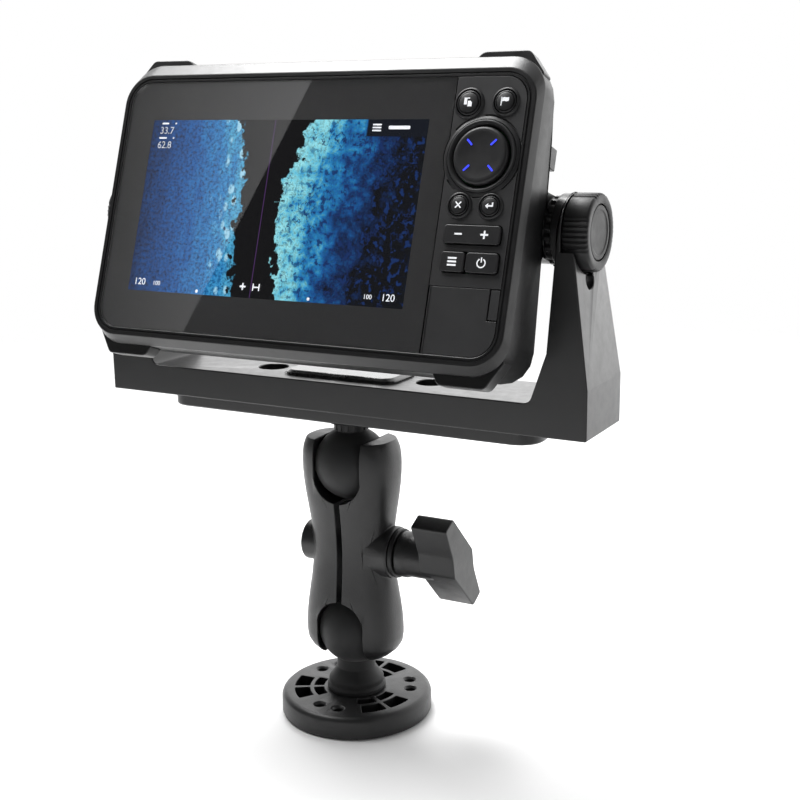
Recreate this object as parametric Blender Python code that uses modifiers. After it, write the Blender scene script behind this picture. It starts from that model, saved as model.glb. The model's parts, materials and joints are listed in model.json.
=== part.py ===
"""Fish finder: a seven-inch display head in a gimbal bracket, on a ball mount.

Metres, +Z up. The origin is the centre of the base plate's underside, and the screen faces -Y.
The head's pieces are modelled in the head's own frame: the origin is the tilt axis, X points right,
Y points back from the screen and Z points up along it. The empty head_tilt_axis tilts that frame.
"""

import math

import bmesh
import bpy
from mathutils import Matrix

# ------------------------------------------------------------------ driving dimensions, in metres
GAP = 0.0003                    # between pieces that touch
RUNNING_GAP = 0.0004            # between pieces that turn or slide on each other

# base plate and its ball
BASE_RADIUS = 0.0398
BASE_THICKNESS = 0.0122
BASE_POCKET_DEPTH = 0.0080
BASE_HOLE_RADIUS = 0.0024
BASE_HOLE_CIRCLE = 0.0290
BALL_RADIUS = 0.01905
LOWER_BALL_HEIGHT = 0.0460
STUD_FOOT_RADIUS = 0.0155
STUD_NECK_RADIUS = 0.0100

# double-socket arm
BALL_SPACING = 0.0900
ARM_END_WIDTH = 0.0524
ARM_END_DEPTH = 0.0392
ARM_WAIST_WIDTH = 0.0430
ARM_WAIST_DEPTH = 0.0292
ARM_END_OVERHANG = 0.0136       # past each ball's centre
ARM_SPLIT = 0.0030              # between the two halves
ARM_BOSS_END = 0.0262           # where the bosses at the arm's waist end
ARM_FACETS = 18
SOCKET_CLEARANCE = 0.00065
SLOT_WIDTH = 0.0270
SLOT_DEPTH = 0.0182             # past each ball's centre, towards the middle of the arm
BOLT_RADIUS = 0.0040
BOLT_HEAD_RADIUS = 0.0074
BOLT_HEAD_THICKNESS = 0.0052
BOLT_HEAD_X = 0.0212            # inner face of the bolt's head, left of the middle
SPRING_POCKET_RADIUS = 0.0088
SPRING_POCKET_DEPTH = 0.0080    # each way from the middle
SPRING_WIRE_RADIUS = 0.0007
SPRING_TURNS = 4
CLAMP_WASHER_RADIUS = 0.0128
CLAMP_WASHER_THICKNESS = 0.0024
KNOB_PITCH = 0.00125            # thread of the clamp bolt
KNOB_HUB_RADIUS = 0.0118
KNOB_HUB_LENGTH = 0.0150
KNOB_WING_LENGTH = 0.0590
KNOB_WING_WIDTH = 0.0226
KNOB_WING_THICKNESS = 0.0195
KNOB_REST_ANGLE = math.radians(33.0)
INSERT_RADIUS = 0.0068
INSERT_LENGTH = 0.0170

# adapter plate under the bracket
PLATE_WIDTH = 0.2125
PLATE_DEPTH = 0.0270
PLATE_THICKNESS = 0.0078
PLATE_NECK_LENGTH = 0.0037      # clear neck between the upper ball and the plate
UPPER_NECK_RADIUS = 0.0082
PLATE_HOLE_SPACING = 0.0928
PLATE_SCREW_RADIUS = 0.0028
PLATE_SCREW_HEAD = 0.0058
PLATE_SCREW_HEAD_THICKNESS = 0.0036
WELL_RADIUS = 0.0078            # of the two wells in the bracket's base
WELL_DEPTH = 0.0092

# gimbal bracket
BRACKET_WIDTH = 0.2707
BRACKET_DEPTH = 0.0449
BRACKET_BASE_THICKNESS = 0.0152
LEG_BEND_HEIGHT = 0.0235        # above the bracket's underside
LEG_LEAN = math.radians(6.95)   # inward, above the bend
LEG_WALL = 0.0070               # at the pivot, before the knob recess
PIVOT_ABOVE_BRACKET = 0.0920
PIVOT_Y = -0.0050
LEG_END_RADIUS = 0.0175
PIVOT_BORE_RADIUS = 0.0044
STUD_RADIUS = 0.0040

# side knobs
SIDE_KNOB_RADIUS = 0.0175
SIDE_KNOB_LENGTH = 0.0120
SIDE_KNOB_FACE_X = 0.1338       # outer face of the right-hand knob
CAP_RADIUS = 0.0125
CAP_THICKNESS = 0.0022
WASHER_RADIUS = 0.0098
WASHER_THICKNESS = 0.0010
RATCHET_RADIUS = 0.0160
RATCHET_TEETH = 20
RATCHET_THICKNESS = 0.0029

# display head, in its own frame
HEAD_TILT = math.radians(18.7)
FACE_WIDTH = 0.2237
FACE_HEIGHT = 0.1318
FACE_CORNER = 0.0150
FACE_FORWARD = 0.0404           # from the tilt axis to the face
FACE_BELOW_PIVOT = 0.0035       # from the tilt axis down to the face's centre
BEZEL_DEPTH = 0.0155
BEZEL_CHAMFER = 0.0055
BEZEL_GROW_SIDE = 0.0012
BEZEL_GROW_TOP = 0.0066
BEZEL_GROW_BOTTOM = 0.0036
BEZEL_RIM = 0.0039
PANEL_THICKNESS = 0.0020
LEDGE = 0.0024                  # that the glass and the key panel rest on
GUARD_RISE = 0.0031             # of the corner guards above the bezel's top
GUARD_DROP = 0.0050             # of the feet below the bezel's bottom
GLASS_RIGHT = 0.0732            # where the glass ends and the key panel starts
MULLION_LEFT = 0.0020           # of the rib under that joint, each way from its middle
MULLION_RIGHT = 0.0011
SCREEN_WIDTH = 0.1542
SCREEN_HEIGHT = 0.0859
SCREEN_CENTRE_X = -0.0157
LCD_MARGIN = 0.0055
LCD_THICKNESS = 0.0050
CHASSIS_WALL = 0.0050
CHASSIS_FLOOR = 0.0025
BOARD_THICKNESS = 0.0016

# rear housing
HOUSING_WALL = 0.0025
HOUSING_SLANT = math.radians(8.1)
HOUSING_SHOULDER = 0.0280       # depth of the shoulder, at the face's middle
HOUSING_DEPTH = 0.0580
HOUSING_INSET = 0.0010
HOUSING_CHAMFER = 0.0140
HUMP_WIDTH = 0.1720
HUMP_HEIGHT = 0.0920
GASKET_SECTION = 0.0018
GASKET_CLEARANCE = 0.0028       # from the housing's wall
SOCKET_RADIUS = 0.0080
SOCKET_LENGTH = 0.0110
SOCKETS = (("power", -0.0420), ("sonar", -0.0140), ("network", 0.0140))
SOCKET_Z = -0.0230
SCREW_X = 0.0760
SCREW_Z = 0.0360
SCREW_HEAD_RADIUS = 0.0040
SCREW_SHANK_RADIUS = 0.0016
RIB_COUNT = 9
RIB_PITCH = 0.0120

# keys: places are x from the head's middle and height above the face's middle
KEY_GAP = 0.0004
KEY_RISE = 0.0014
KEY_TRAVEL = 0.0008
PAGES_KEY = (0.0806, 0.0496, 0.0056)
WAYPOINT_KEY = (0.0980, 0.0501, 0.0050)
EXIT_KEY = (0.0827, 0.0040, 0.0045)
ENTER_KEY = (0.0975, 0.0040, 0.0045)
CURSOR_CENTRE = (0.0901, 0.0259)
CURSOR_RING_RADIUS = 0.0162
CURSOR_BULGE_RADIUS = 0.0183   # of the panel round the cursor ring, past the straight joint
CURSOR_PAD_RADIUS = 0.0129
CURSOR_PAD_RISE = 0.0024
CURSOR_BACK = 0.0012            # depth of the pad's rim behind the face
LIGHT_LENGTH = 0.0036
LIGHT_WIDTH = 0.0008
LIGHT_CIRCLE = 0.0081           # radius on which the four lights lie
ZOOM_KEY = (0.0909, -0.0088, 0.0270, 0.0082)
LOWER_BAR = (0.0914, -0.0210, 0.0273, 0.0088)
MENU_SHARE = 0.42               # of the lower bar
DOOR_TOP = -0.0320
DOOR_PIN_RADIUS = 0.0006
LATCH_WIDTH = 0.0046
LATCH_HEIGHT = 0.0134
READER_WIDTH = 0.0250
READER_HEIGHT = 0.0230
READER_DEPTH = 0.0060

# ------------------------------------------------------------------ places worked out from them
UPPER_BALL_HEIGHT = LOWER_BALL_HEIGHT + BALL_SPACING
ARM_MIDDLE = LOWER_BALL_HEIGHT + BALL_SPACING / 2
WASHER_X = ARM_BOSS_END + GAP   # inner face of the clamp washer, right of the middle
HUB_X = WASHER_X + CLAMP_WASHER_THICKNESS + GAP
WING_X = HUB_X + KNOB_HUB_LENGTH
PLATE_BOTTOM = UPPER_BALL_HEIGHT + BALL_RADIUS + PLATE_NECK_LENGTH
BRACKET_BOTTOM = PLATE_BOTTOM + PLATE_THICKNESS + GAP
BRACKET_TOP = BRACKET_BOTTOM + BRACKET_BASE_THICKNESS
PIVOT_Z = BRACKET_BOTTOM + PIVOT_ABOVE_BRACKET
KNOB_INNER_X = SIDE_KNOB_FACE_X - SIDE_KNOB_LENGTH
RECESS_X = KNOB_INNER_X - GAP
LEG_BOSS_X = RECESS_X - 0.0054
RATCHET_X = LEG_BOSS_X - GAP - RATCHET_THICKNESS
FACE_Y = -FACE_FORWARD
FACE_Z = -FACE_BELOW_PIVOT
SOCKET_SPHERE = BALL_RADIUS + SOCKET_CLEARANCE
WINDOW_HEIGHT = FACE_HEIGHT - 2 * BEZEL_RIM
WINDOW_WIDTH = FACE_WIDTH - 2 * BEZEL_RIM
PANEL_HEIGHT = WINDOW_HEIGHT - 2 * GAP
PANEL_CORNER = FACE_CORNER - BEZEL_RIM
PANEL_RIGHT = WINDOW_WIDTH / 2 - GAP
PANEL_LEFT = GLASS_RIGHT + GAP
LEDGE_DEPTH = PANEL_THICKNESS + GAP
BEZEL_TOP = FACE_HEIGHT / 2 + BEZEL_GROW_TOP
BEZEL_BOTTOM = -FACE_HEIGHT / 2 - BEZEL_GROW_BOTTOM
BEZEL_WIDTH = FACE_WIDTH + 2 * BEZEL_GROW_SIDE
WINDOW_LEFT = -WINDOW_WIDTH / 2 + LEDGE
WINDOW_MIDDLE = (GLASS_RIGHT + PANEL_LEFT) / 2
KEY_WINDOW_LEFT = WINDOW_MIDDLE + MULLION_RIGHT
KEY_WINDOW_MIDDLE = (KEY_WINDOW_LEFT - WINDOW_LEFT) / 2
CHASSIS_NEAR = LEDGE_DEPTH + LCD_THICKNESS + GAP
CHASSIS_FAR = BEZEL_DEPTH + CHASSIS_FLOOR - 0.0001
MENU_WIDTH = LOWER_BAR[2] * MENU_SHARE
POWER_WIDTH = LOWER_BAR[2] - MENU_WIDTH - 2 * GAP
MENU_X = LOWER_BAR[0] - LOWER_BAR[2] / 2 + MENU_WIDTH / 2
POWER_X = LOWER_BAR[0] + LOWER_BAR[2] / 2 - POWER_WIDTH / 2
ROUND_KEYS = (("pages_key", PAGES_KEY), ("waypoint_key", WAYPOINT_KEY),
              ("exit_key", EXIT_KEY), ("enter_key", ENTER_KEY))
KEY_BACK = PANEL_THICKNESS + 0.0008
KEYPAD_BOARD_NEAR = KEY_BACK + KEY_TRAVEL + 0.0010
PANEL_BOTTOM = DOOR_TOP + GAP
DOOR_AXIS_X = PANEL_LEFT + 0.0010
DOOR_AXIS_DEPTH = PANEL_THICKNESS / 2
DOOR_BOTTOM = -PANEL_HEIGHT / 2


# ------------------------------------------------------------------ tools
def clear_scene():
    for old in list(bpy.data.objects):
        bpy.data.objects.remove(old, do_unlink=True)


def new_collection(name):
    collection = bpy.data.collections.new(name)
    bpy.context.scene.collection.children.link(collection)
    return collection


def place(obj, at=(0, 0, 0), turn=(0, 0, 0), parent=None, cutter=False):
    """Link an object to its collection, at a place in its parent's frame."""
    obj.location = at
    obj.rotation_euler = turn
    obj.parent = parent
    (CUTTERS if cutter else PARTS).objects.link(obj)
    if cutter:
        obj.hide_render = True
        obj.display_type = "WIRE"
    return obj


def from_bmesh(name, bm, **where):
    mesh = bpy.data.meshes.new(name)
    bm.to_mesh(mesh)
    bm.free()
    return place(bpy.data.objects.new(name, mesh), **where)


def axis_turn(axis):
    """The rotation that takes Z to the named axis."""
    turns = {"X": Matrix.Rotation(math.pi / 2, 4, "Y"), "Y": Matrix.Rotation(-math.pi / 2, 4, "X")}
    return turns.get(axis, Matrix())


def box(name, size, **where):
    bm = bmesh.new()
    bmesh.ops.create_cube(bm, size=1.0)
    bmesh.ops.scale(bm, vec=size, verts=bm.verts)
    return from_bmesh(name, bm, **where)


def rod(name, radius, length, axis="Z", end_radius=None, segments=32, **where):
    """A cylinder, or a cone whose end_radius is at the far end of the axis."""
    bm = bmesh.new()
    bmesh.ops.create_cone(
        bm, cap_ends=True, segments=segments, radius1=radius,
        radius2=radius if end_radius is None else end_radius, depth=length,
    )
    bmesh.ops.transform(bm, matrix=axis_turn(axis), verts=bm.verts)
    return from_bmesh(name, bm, **where)


def ball(name, radius, segments=20, rings=14, axis="X", **where):
    bm = bmesh.new()
    bmesh.ops.create_uvsphere(bm, u_segments=segments, v_segments=rings, radius=radius)
    bmesh.ops.transform(bm, matrix=axis_turn(axis), verts=bm.verts)
    return from_bmesh(name, bm, **where)


def arc(centre, radius, start, end, steps):
    """Points along an arc, with the angles in degrees."""
    angles = [math.radians(start + (end - start) * i / steps) for i in range(steps + 1)]
    return [(centre[0] + radius * math.cos(a), centre[1] + radius * math.sin(a)) for a in angles]


def circle(centre, radius, steps=24):
    return arc(centre, radius, 0, 360, steps)[:-1]


def rounded_rectangle(left, right, bottom, top, radii, steps=5):
    """An outline from the bottom right corner round, anticlockwise, as the radii are given."""
    corners = [(right, bottom, -1, 1, -90), (right, top, -1, -1, 0),
               (left, top, 1, -1, 90), (left, bottom, 1, 1, 180)]
    points = []
    for (x, y, inward_x, inward_y, start), radius in zip(corners, radii):
        if radius <= 0:
            points.append((x, y))
        else:
            centre = (x + inward_x * radius, y + inward_y * radius)
            points += arc(centre, radius, start, start + 90, steps)
    return points


def centred_rectangle(width, height, radius, steps=5, centre=(0, 0)):
    x, y = centre
    return rounded_rectangle(x - width / 2, x + width / 2, y - height / 2, y + height / 2,
                             (radius,) * 4, steps)


def face_outwards(bm):
    bmesh.ops.recalc_face_normals(bm, faces=bm.faces)
    if bm.calc_volume(signed=True) < 0:
        bmesh.ops.reverse_faces(bm, faces=bm.faces)


def welded(curve):
    """A curve's closed mesh: its caps are joined to its sides."""
    drawn = bpy.data.objects.new("drawn", curve)
    bpy.context.scene.collection.objects.link(drawn)
    seen = drawn.evaluated_get(bpy.context.evaluated_depsgraph_get())
    mesh = bpy.data.meshes.new_from_object(seen)
    bm = bmesh.new()
    bm.from_mesh(mesh)
    bmesh.ops.remove_doubles(bm, verts=bm.verts, dist=1e-6)
    face_outwards(bm)
    bpy.data.objects.remove(drawn, do_unlink=True)
    bpy.data.meshes.remove(mesh)
    return bm


def plate(name, outlines, thickness, facing="Y", **where):
    """A flat outline, with its holes, as thick as given along the axis that it faces."""
    curve = bpy.data.curves.new(name, "CURVE")
    curve.dimensions = "2D"
    curve.fill_mode = "BOTH"
    curve.extrude = thickness / 2
    for outline in outlines:
        spline = curve.splines.new("POLY")
        spline.points.add(len(outline) - 1)
        for point, (x, y) in zip(spline.points, outline):
            point.co = (x, y, 0, 1)
        spline.use_cyclic_u = True
    bm = welded(curve)
    if facing == "Y":
        bmesh.ops.transform(bm, matrix=Matrix.Rotation(math.pi / 2, 4, "X"), verts=bm.verts)
    if facing == "X":
        swap = Matrix(((0, 0, 1, 0), (1, 0, 0, 0), (0, 1, 0, 0), (0, 0, 0, 1)))
        bmesh.ops.transform(bm, matrix=swap, verts=bm.verts)
    return from_bmesh(name, bm, **where)


def turned(name, profile, axis="Z", steps=32, **where):
    """A profile of (radius, height) points, from the top down the outer side, turned about the axis."""
    mesh = bpy.data.meshes.new(name)
    edges = [(i, i + 1) for i in range(len(profile) - 1)]
    mesh.from_pydata([(radius, 0, height) for radius, height in profile], edges, [])
    obj = place(bpy.data.objects.new(name, mesh), **where)
    if axis == "X":
        mesh.transform(axis_turn("X"))
    if axis == "Y":
        mesh.transform(axis_turn("Y"))
    screw = obj.modifiers.new("turn", "SCREW")
    screw.axis = axis
    screw.steps = steps
    screw.render_steps = steps
    screw.use_merge_vertices = True
    screw.merge_threshold = 1e-6
    screw.use_smooth_shade = True
    return obj


def loft(name, rings, **where):
    """A closed body through rings that have the same number of points."""
    bm = bmesh.new()
    rows = [[bm.verts.new(point) for point in ring] for ring in rings]
    count = len(rows[0])
    for here, there in zip(rows, rows[1:]):
        for i in range(count):
            j = (i + 1) % count
            bm.faces.new((here[i], here[j], there[j], there[i]))
    bm.faces.new(rows[0])
    bm.faces.new(rows[-1])
    bmesh.ops.triangulate(bm, faces=[face for face in bm.faces if len(face.verts) == 4])
    face_outwards(bm)
    return from_bmesh(name, bm, **where)


def change(target, tool, operation):
    boolean = target.modifiers.new(tool.name, "BOOLEAN")
    boolean.operation = operation
    boolean.object = tool
    boolean.solver = "EXACT"
    return target


def cut(target, *tools):
    for tool in tools:
        change(target, tool, "DIFFERENCE")
    return target


def join(target, *tools):
    for tool in tools:
        change(target, tool, "UNION")
    return target


def soften(target, width, segments=1, angle=40):
    """Bevel the edges that are sharper than the angle."""
    bevel = target.modifiers.new("soften", "BEVEL")
    bevel.width = width
    bevel.segments = segments
    bevel.limit_method = "ANGLE"
    bevel.angle_limit = math.radians(angle)
    return target


def finish(colour, roughness, metallic, *objects):
    """Give each object its own material."""
    for obj in objects:
        material = bpy.data.materials.new(obj.name)
        material.use_nodes = True
        shader = material.node_tree.nodes["Principled BSDF"]
        shader.inputs["Base Color"].default_value = (*colour, 1)
        shader.inputs["Roughness"].default_value = roughness
        shader.inputs["Metallic"].default_value = metallic
        obj.data.materials.append(material)
        if hasattr(obj.data, "set_sharp_from_angle"):
            obj.data.shade_smooth()
            obj.data.set_sharp_from_angle(angle=math.radians(30))


def empty(name, at=(0, 0, 0), turn=(0, 0, 0), parent=None):
    obj = bpy.data.objects.new(name, None)
    obj.empty_display_size = 0.01
    return place(obj, at=at, turn=turn, parent=parent)


def both_sides(maker, *args):
    """Call a maker for the left and the right."""
    return [maker(side, name, *args) for side, name in ((-1, "left"), (1, "right"))]


# ------------------------------------------------------------------ base plate
def sector(inner, outer, start, end, steps=5):
    """A ring segment's outline, with the angles in degrees."""
    return arc((0, 0), outer, start, end, steps) + arc((0, 0), inner, end, start, steps)


def base_plate():
    rim = 0.0016
    profile = [(0, BASE_THICKNESS), (BASE_RADIUS - rim, BASE_THICKNESS),
               (BASE_RADIUS, BASE_THICKNESS - rim), (BASE_RADIUS, 0.0005), (BASE_RADIUS - 0.0005, 0), (0, 0)]
    obj = turned("base_plate", profile, steps=48)
    rib = 0.0011
    inner_ring = (STUD_FOOT_RADIUS + 0.0020, BASE_RADIUS * 0.60 - rib)
    outer_ring = (BASE_RADIUS * 0.60 + rib, BASE_RADIUS * 0.83)
    top = BASE_THICKNESS - BASE_POCKET_DEPTH / 2 + 0.0005
    for group in (90, 210, 330):
        for hand in (-1, 1):
            for inner, outer, span in ((*inner_ring, 29), (*outer_ring, 25)):
                start = math.degrees(rib / ((inner + outer) / 2))
                outline = sector(inner, outer, group + hand * start, group + hand * span, 3)
                name = f"base_pocket_{group}_{hand}_{span}"
                cut(obj, plate(name, [outline], BASE_POCKET_DEPTH + 0.001, "Z", at=(0, 0, top),
                               cutter=True))
    for pair in (30, 150, 270):
        for spread in (-11, 11):
            angle = math.radians(pair + spread)
            at = (BASE_HOLE_CIRCLE * math.cos(angle), BASE_HOLE_CIRCLE * math.sin(angle),
                  BASE_THICKNESS / 2)
            name = f"base_hole_{pair}_{spread}"
            cut(obj, rod(name, BASE_HOLE_RADIUS, BASE_THICKNESS * 2, segments=14, at=at, cutter=True))
    finish((0.020, 0.020, 0.021), 0.48, 0.0, obj)


def ball_arc(centre, start, end, steps):
    """Points of the ball's profile: the angles run from its top, in degrees."""
    angles = [math.radians(start + (end - start) * i / steps) for i in range(steps + 1)]
    return [(BALL_RADIUS * math.sin(a), centre + BALL_RADIUS * math.cos(a)) for a in angles]


def lower_ball_stud():
    """The stud is turned, so it can swivel on the base plate."""
    foot = BASE_THICKNESS + GAP
    neck = math.degrees(math.asin(STUD_NECK_RADIUS / BALL_RADIUS))
    globe = ball_arc(0, 0, 180 - neck, 10)
    globe[0] = (0, globe[0][1])
    low = foot - LOWER_BALL_HEIGHT
    stem = [(STUD_NECK_RADIUS, low + 0.0120), (STUD_NECK_RADIUS * 1.22, low + 0.0082),
            (STUD_FOOT_RADIUS * 0.90, low + 0.0064), (STUD_FOOT_RADIUS * 0.92, low + 0.0028),
            (STUD_FOOT_RADIUS, low + 0.0016), (STUD_FOOT_RADIUS, low), (0, low)]
    obj = turned("lower_ball_stud", globe + stem, steps=24, at=(0, 0, LOWER_BALL_HEIGHT))
    finish((0.022, 0.022, 0.023), 0.42, 0.0, obj)


# ------------------------------------------------------------------ arm
def arm_section(height):
    """Half width and half depth of the arm at a height above its middle."""
    along = abs(height) / (BALL_SPACING / 2)
    swell = math.sin(math.pi / 2 * min(along, 1)) ** 2
    width = ARM_WAIST_WIDTH + (ARM_END_WIDTH - ARM_WAIST_WIDTH) * swell
    depth = ARM_WAIST_DEPTH + (ARM_END_DEPTH - ARM_WAIST_DEPTH) * swell
    past = max(0.0, abs(height) - BALL_SPACING / 2) / ARM_END_OVERHANG
    rounding = 0.34 if height < 0 else 0.10
    shrink = 1 - rounding * past ** 3
    return width / 2 * shrink, depth / 2 * shrink


def arm_body(name):
    """The whole waisted arm, before it is split."""
    levels = 11
    reach = BALL_SPACING / 2 + ARM_END_OVERHANG
    rings = []
    for i in range(levels):
        height = -reach * math.cos(math.pi * i / (levels - 1))
        half_width, half_depth = arm_section(height)
        ring = []
        for j in range(ARM_FACETS):
            angle = 2 * math.pi * (j + 0.5) / ARM_FACETS
            c, s = math.cos(angle), math.sin(angle)
            ring.append((math.copysign(abs(c) ** 0.78, c) * half_width,
                         math.copysign(abs(s) ** 0.78, s) * half_depth, height))
        rings.append(ring)
    return loft(name, rings, at=(0, 0, ARM_MIDDLE))


def arm_slot(name, height, up, **where):
    """The open-ended slot that lets a ball's neck swing."""
    half = SLOT_WIDTH / 2
    length = 0.060
    outline = arc((0, -SLOT_DEPTH + half), half, 180, 360, 8) + [(half, length), (-half, length)]
    if not up:
        outline = [(x, -y) for x, y in reversed(outline)]
    return plate(name, [outline], ARM_END_DEPTH * 2, "Y", at=(0, 0, height), cutter=True, **where)


def arm_half(side, name):
    obj = arm_body(f"arm_half_{name}")
    reach = 0.12
    boss = 0.0108 if side < 0 else 0.0138
    root = ARM_WAIST_WIDTH / 4
    boss_rod = rod(f"arm_boss_{name}", boss * 1.12, ARM_BOSS_END - root, "X", end_radius=boss,
                   segments=28, at=(side * (root + ARM_BOSS_END) / 2, 0, ARM_MIDDLE), cutter=True)
    if side < 0:
        boss_rod.rotation_euler = (0, 0, math.pi)
    join(obj, boss_rod)
    away = box(f"arm_split_{name}", (reach, reach, 2 * reach),
               at=(side * (ARM_SPLIT - reach) / 2, 0, ARM_MIDDLE), cutter=True)
    cut(obj, away)
    for level, height in (("lower", LOWER_BALL_HEIGHT), ("upper", UPPER_BALL_HEIGHT)):
        cut(obj, ball(f"arm_socket_{level}_{name}", SOCKET_SPHERE, at=(0, 0, height), cutter=True))
        cut(obj, arm_slot(f"arm_slot_{level}_{name}", height, level == "upper"))
    bore = rod(f"arm_bore_{name}", BOLT_RADIUS + RUNNING_GAP, 0.08, "X", segments=24,
               at=(side * 0.03, 0, ARM_MIDDLE), cutter=True)
    pocket = rod(f"arm_spring_pocket_{name}", SPRING_POCKET_RADIUS, 2 * SPRING_POCKET_DEPTH, "X",
                 segments=24, at=(0, 0, ARM_MIDDLE), cutter=True)
    cut(obj, bore, pocket)
    if side < 0:
        seat = rod("arm_hex_seat", BOLT_HEAD_RADIUS + RUNNING_GAP, 0.010, "X", segments=6,
                   at=(-BOLT_HEAD_X - 0.005 + RUNNING_GAP, 0, ARM_MIDDLE), cutter=True)
        cut(obj, seat)
    finish((0.021, 0.021, 0.022), 0.45, 0.0, obj)
    return obj


def clamp_bolt():
    end = WING_X - 0.002
    length = end + BOLT_HEAD_X
    obj = rod("clamp_bolt", BOLT_RADIUS, length, "X", segments=20,
              at=((end - BOLT_HEAD_X) / 2, 0, ARM_MIDDLE))
    head = rod("clamp_bolt_head", BOLT_HEAD_RADIUS, BOLT_HEAD_THICKNESS, "X", segments=6,
               at=(-BOLT_HEAD_X - BOLT_HEAD_THICKNESS / 2 + 0.0001, 0, ARM_MIDDLE), cutter=True)
    join(obj, head)
    finish((0.55, 0.55, 0.56), 0.35, 1.0, obj)


def arm_spring():
    """A steel coil round the bolt, between the two halves."""
    per_turn = 10
    radius = (BOLT_RADIUS + SPRING_POCKET_RADIUS) / 2
    half = SPRING_POCKET_DEPTH - SPRING_WIRE_RADIUS - RUNNING_GAP
    curve = bpy.data.curves.new("arm_spring", "CURVE")
    curve.dimensions = "3D"
    curve.bevel_depth = SPRING_WIRE_RADIUS
    curve.bevel_resolution = 1
    curve.use_fill_caps = True
    count = SPRING_TURNS * per_turn + 1
    spline = curve.splines.new("POLY")
    spline.points.add(count - 1)
    for i, point in enumerate(spline.points):
        angle = 2 * math.pi * i / per_turn
        along = -half + 2 * half * i / (count - 1)
        point.co = (along, radius * math.cos(angle), radius * math.sin(angle), 1)
    obj = from_bmesh("arm_spring", welded(curve), at=(0, 0, ARM_MIDDLE))
    finish((0.60, 0.60, 0.61), 0.30, 1.0, obj)


def clamp_washer():
    outlines = [circle((0, 0), CLAMP_WASHER_RADIUS, 28), circle((0, 0), BOLT_RADIUS + GAP, 20)]
    obj = plate("clamp_washer", outlines, CLAMP_WASHER_THICKNESS, "X",
                at=(WASHER_X + CLAMP_WASHER_THICKNESS / 2, 0, ARM_MIDDLE))
    finish((0.030, 0.030, 0.031), 0.35, 0.0, obj)


def wing_outline():
    """Half of the wing from its tip, then the same half turned about the hub."""
    tip, side = KNOB_WING_LENGTH / 2, KNOB_WING_WIDTH / 2
    half = [(-0.0048, tip), (0.0048, tip - 0.0010), (side, -0.0020), (0.0076, -0.0112)]
    return half + [(-x, -y) for x, y in half]


def arm_knob():
    """Hub and wing, bored for the insert."""
    frame = dict(at=(0, 0, ARM_MIDDLE), turn=(KNOB_REST_ANGLE, 0, 0))
    r = KNOB_HUB_RADIUS
    obj = turned("arm_knob", [(0, WING_X + 0.001), (r * 0.95, WING_X + 0.001), (r * 0.95, HUB_X + 0.006),
                              (r, HUB_X + 0.0045), (r, HUB_X + 0.0006), (r - 0.0006, HUB_X), (0, HUB_X)],
                 "X", steps=28, **frame)
    wing = plate("arm_knob_wing", [wing_outline()], KNOB_WING_THICKNESS, "X",
                 at=(WING_X + KNOB_WING_THICKNESS / 2, 0, 0), parent=None, cutter=True)
    wing.location = (WING_X + KNOB_WING_THICKNESS / 2, 0, ARM_MIDDLE)
    wing.rotation_euler = (KNOB_REST_ANGLE, 0, 0)
    soften(wing, 0.0012, angle=25)
    join(obj, wing)
    cut(obj, rod("arm_knob_bore", INSERT_RADIUS + GAP, 2 * INSERT_LENGTH + 0.002, "X", segments=24,
                 at=(HUB_X, 0, ARM_MIDDLE), cutter=True))
    finish((0.024, 0.024, 0.025), 0.38, 0.0, obj)


def knob_insert():
    """The brass nut moulded into the knob: it takes the bolt's end."""
    outlines = [circle((0, 0), INSERT_RADIUS, 20), circle((0, 0), BOLT_RADIUS + GAP, 20)]
    obj = plate("knob_insert", outlines, INSERT_LENGTH, "X", at=(HUB_X + INSERT_LENGTH / 2, 0, ARM_MIDDLE))
    finish((0.62, 0.45, 0.18), 0.35, 1.0, obj)


# ------------------------------------------------------------------ upper ball, plate and bracket
def upper_ball_stud():
    """Turned, so it can swivel under the adapter plate."""
    neck = math.degrees(math.asin(UPPER_NECK_RADIUS / BALL_RADIUS))
    top = PLATE_BOTTOM - GAP - UPPER_BALL_HEIGHT
    stem = [(0, top), (UPPER_NECK_RADIUS * 1.42, top), (UPPER_NECK_RADIUS * 1.42, top - 0.0010)]
    globe = ball_arc(0, neck, 180, 10)
    globe[-1] = (0, globe[-1][1])
    obj = turned("upper_ball_stud", stem + globe, steps=24, at=(0, 0, UPPER_BALL_HEIGHT))
    finish((0.022, 0.022, 0.023), 0.42, 0.0, obj)


def mount_plate():
    holes = [circle((side * PLATE_HOLE_SPACING / 2, 0), PLATE_SCREW_RADIUS + GAP, 16) for side in (-1, 1)]
    outline = centred_rectangle(PLATE_WIDTH, PLATE_DEPTH, PLATE_DEPTH * 0.44, 6)
    obj = plate("mount_plate", [outline] + holes, PLATE_THICKNESS, "Z",
                at=(0, 0, PLATE_BOTTOM + PLATE_THICKNESS / 2))
    finish((0.020, 0.020, 0.021), 0.50, 0.0, obj)


def plate_screw(side, name):
    """A pan-head screw, sunk in the bracket's base, that holds the bracket to the plate."""
    under_head = BRACKET_TOP - WELL_DEPTH + GAP
    top = under_head + PLATE_SCREW_HEAD_THICKNESS
    bottom = PLATE_BOTTOM + 0.0010
    profile = [(0, top), (PLATE_SCREW_HEAD - 0.0010, top), (PLATE_SCREW_HEAD, top - 0.0010),
               (PLATE_SCREW_HEAD, under_head), (PLATE_SCREW_RADIUS, under_head),
               (PLATE_SCREW_RADIUS, bottom), (0, bottom)]
    obj = turned(f"plate_screw_{name}", profile, steps=18, at=(side * PLATE_HOLE_SPACING / 2, 0, 0))
    socket = rod(f"plate_screw_socket_{name}", 0.0026, 0.004, segments=6,
                 at=(side * PLATE_HOLE_SPACING / 2, 0, top), cutter=True)
    cut(obj, socket)
    finish((0.50, 0.50, 0.52), 0.30, 1.0, obj)


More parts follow.
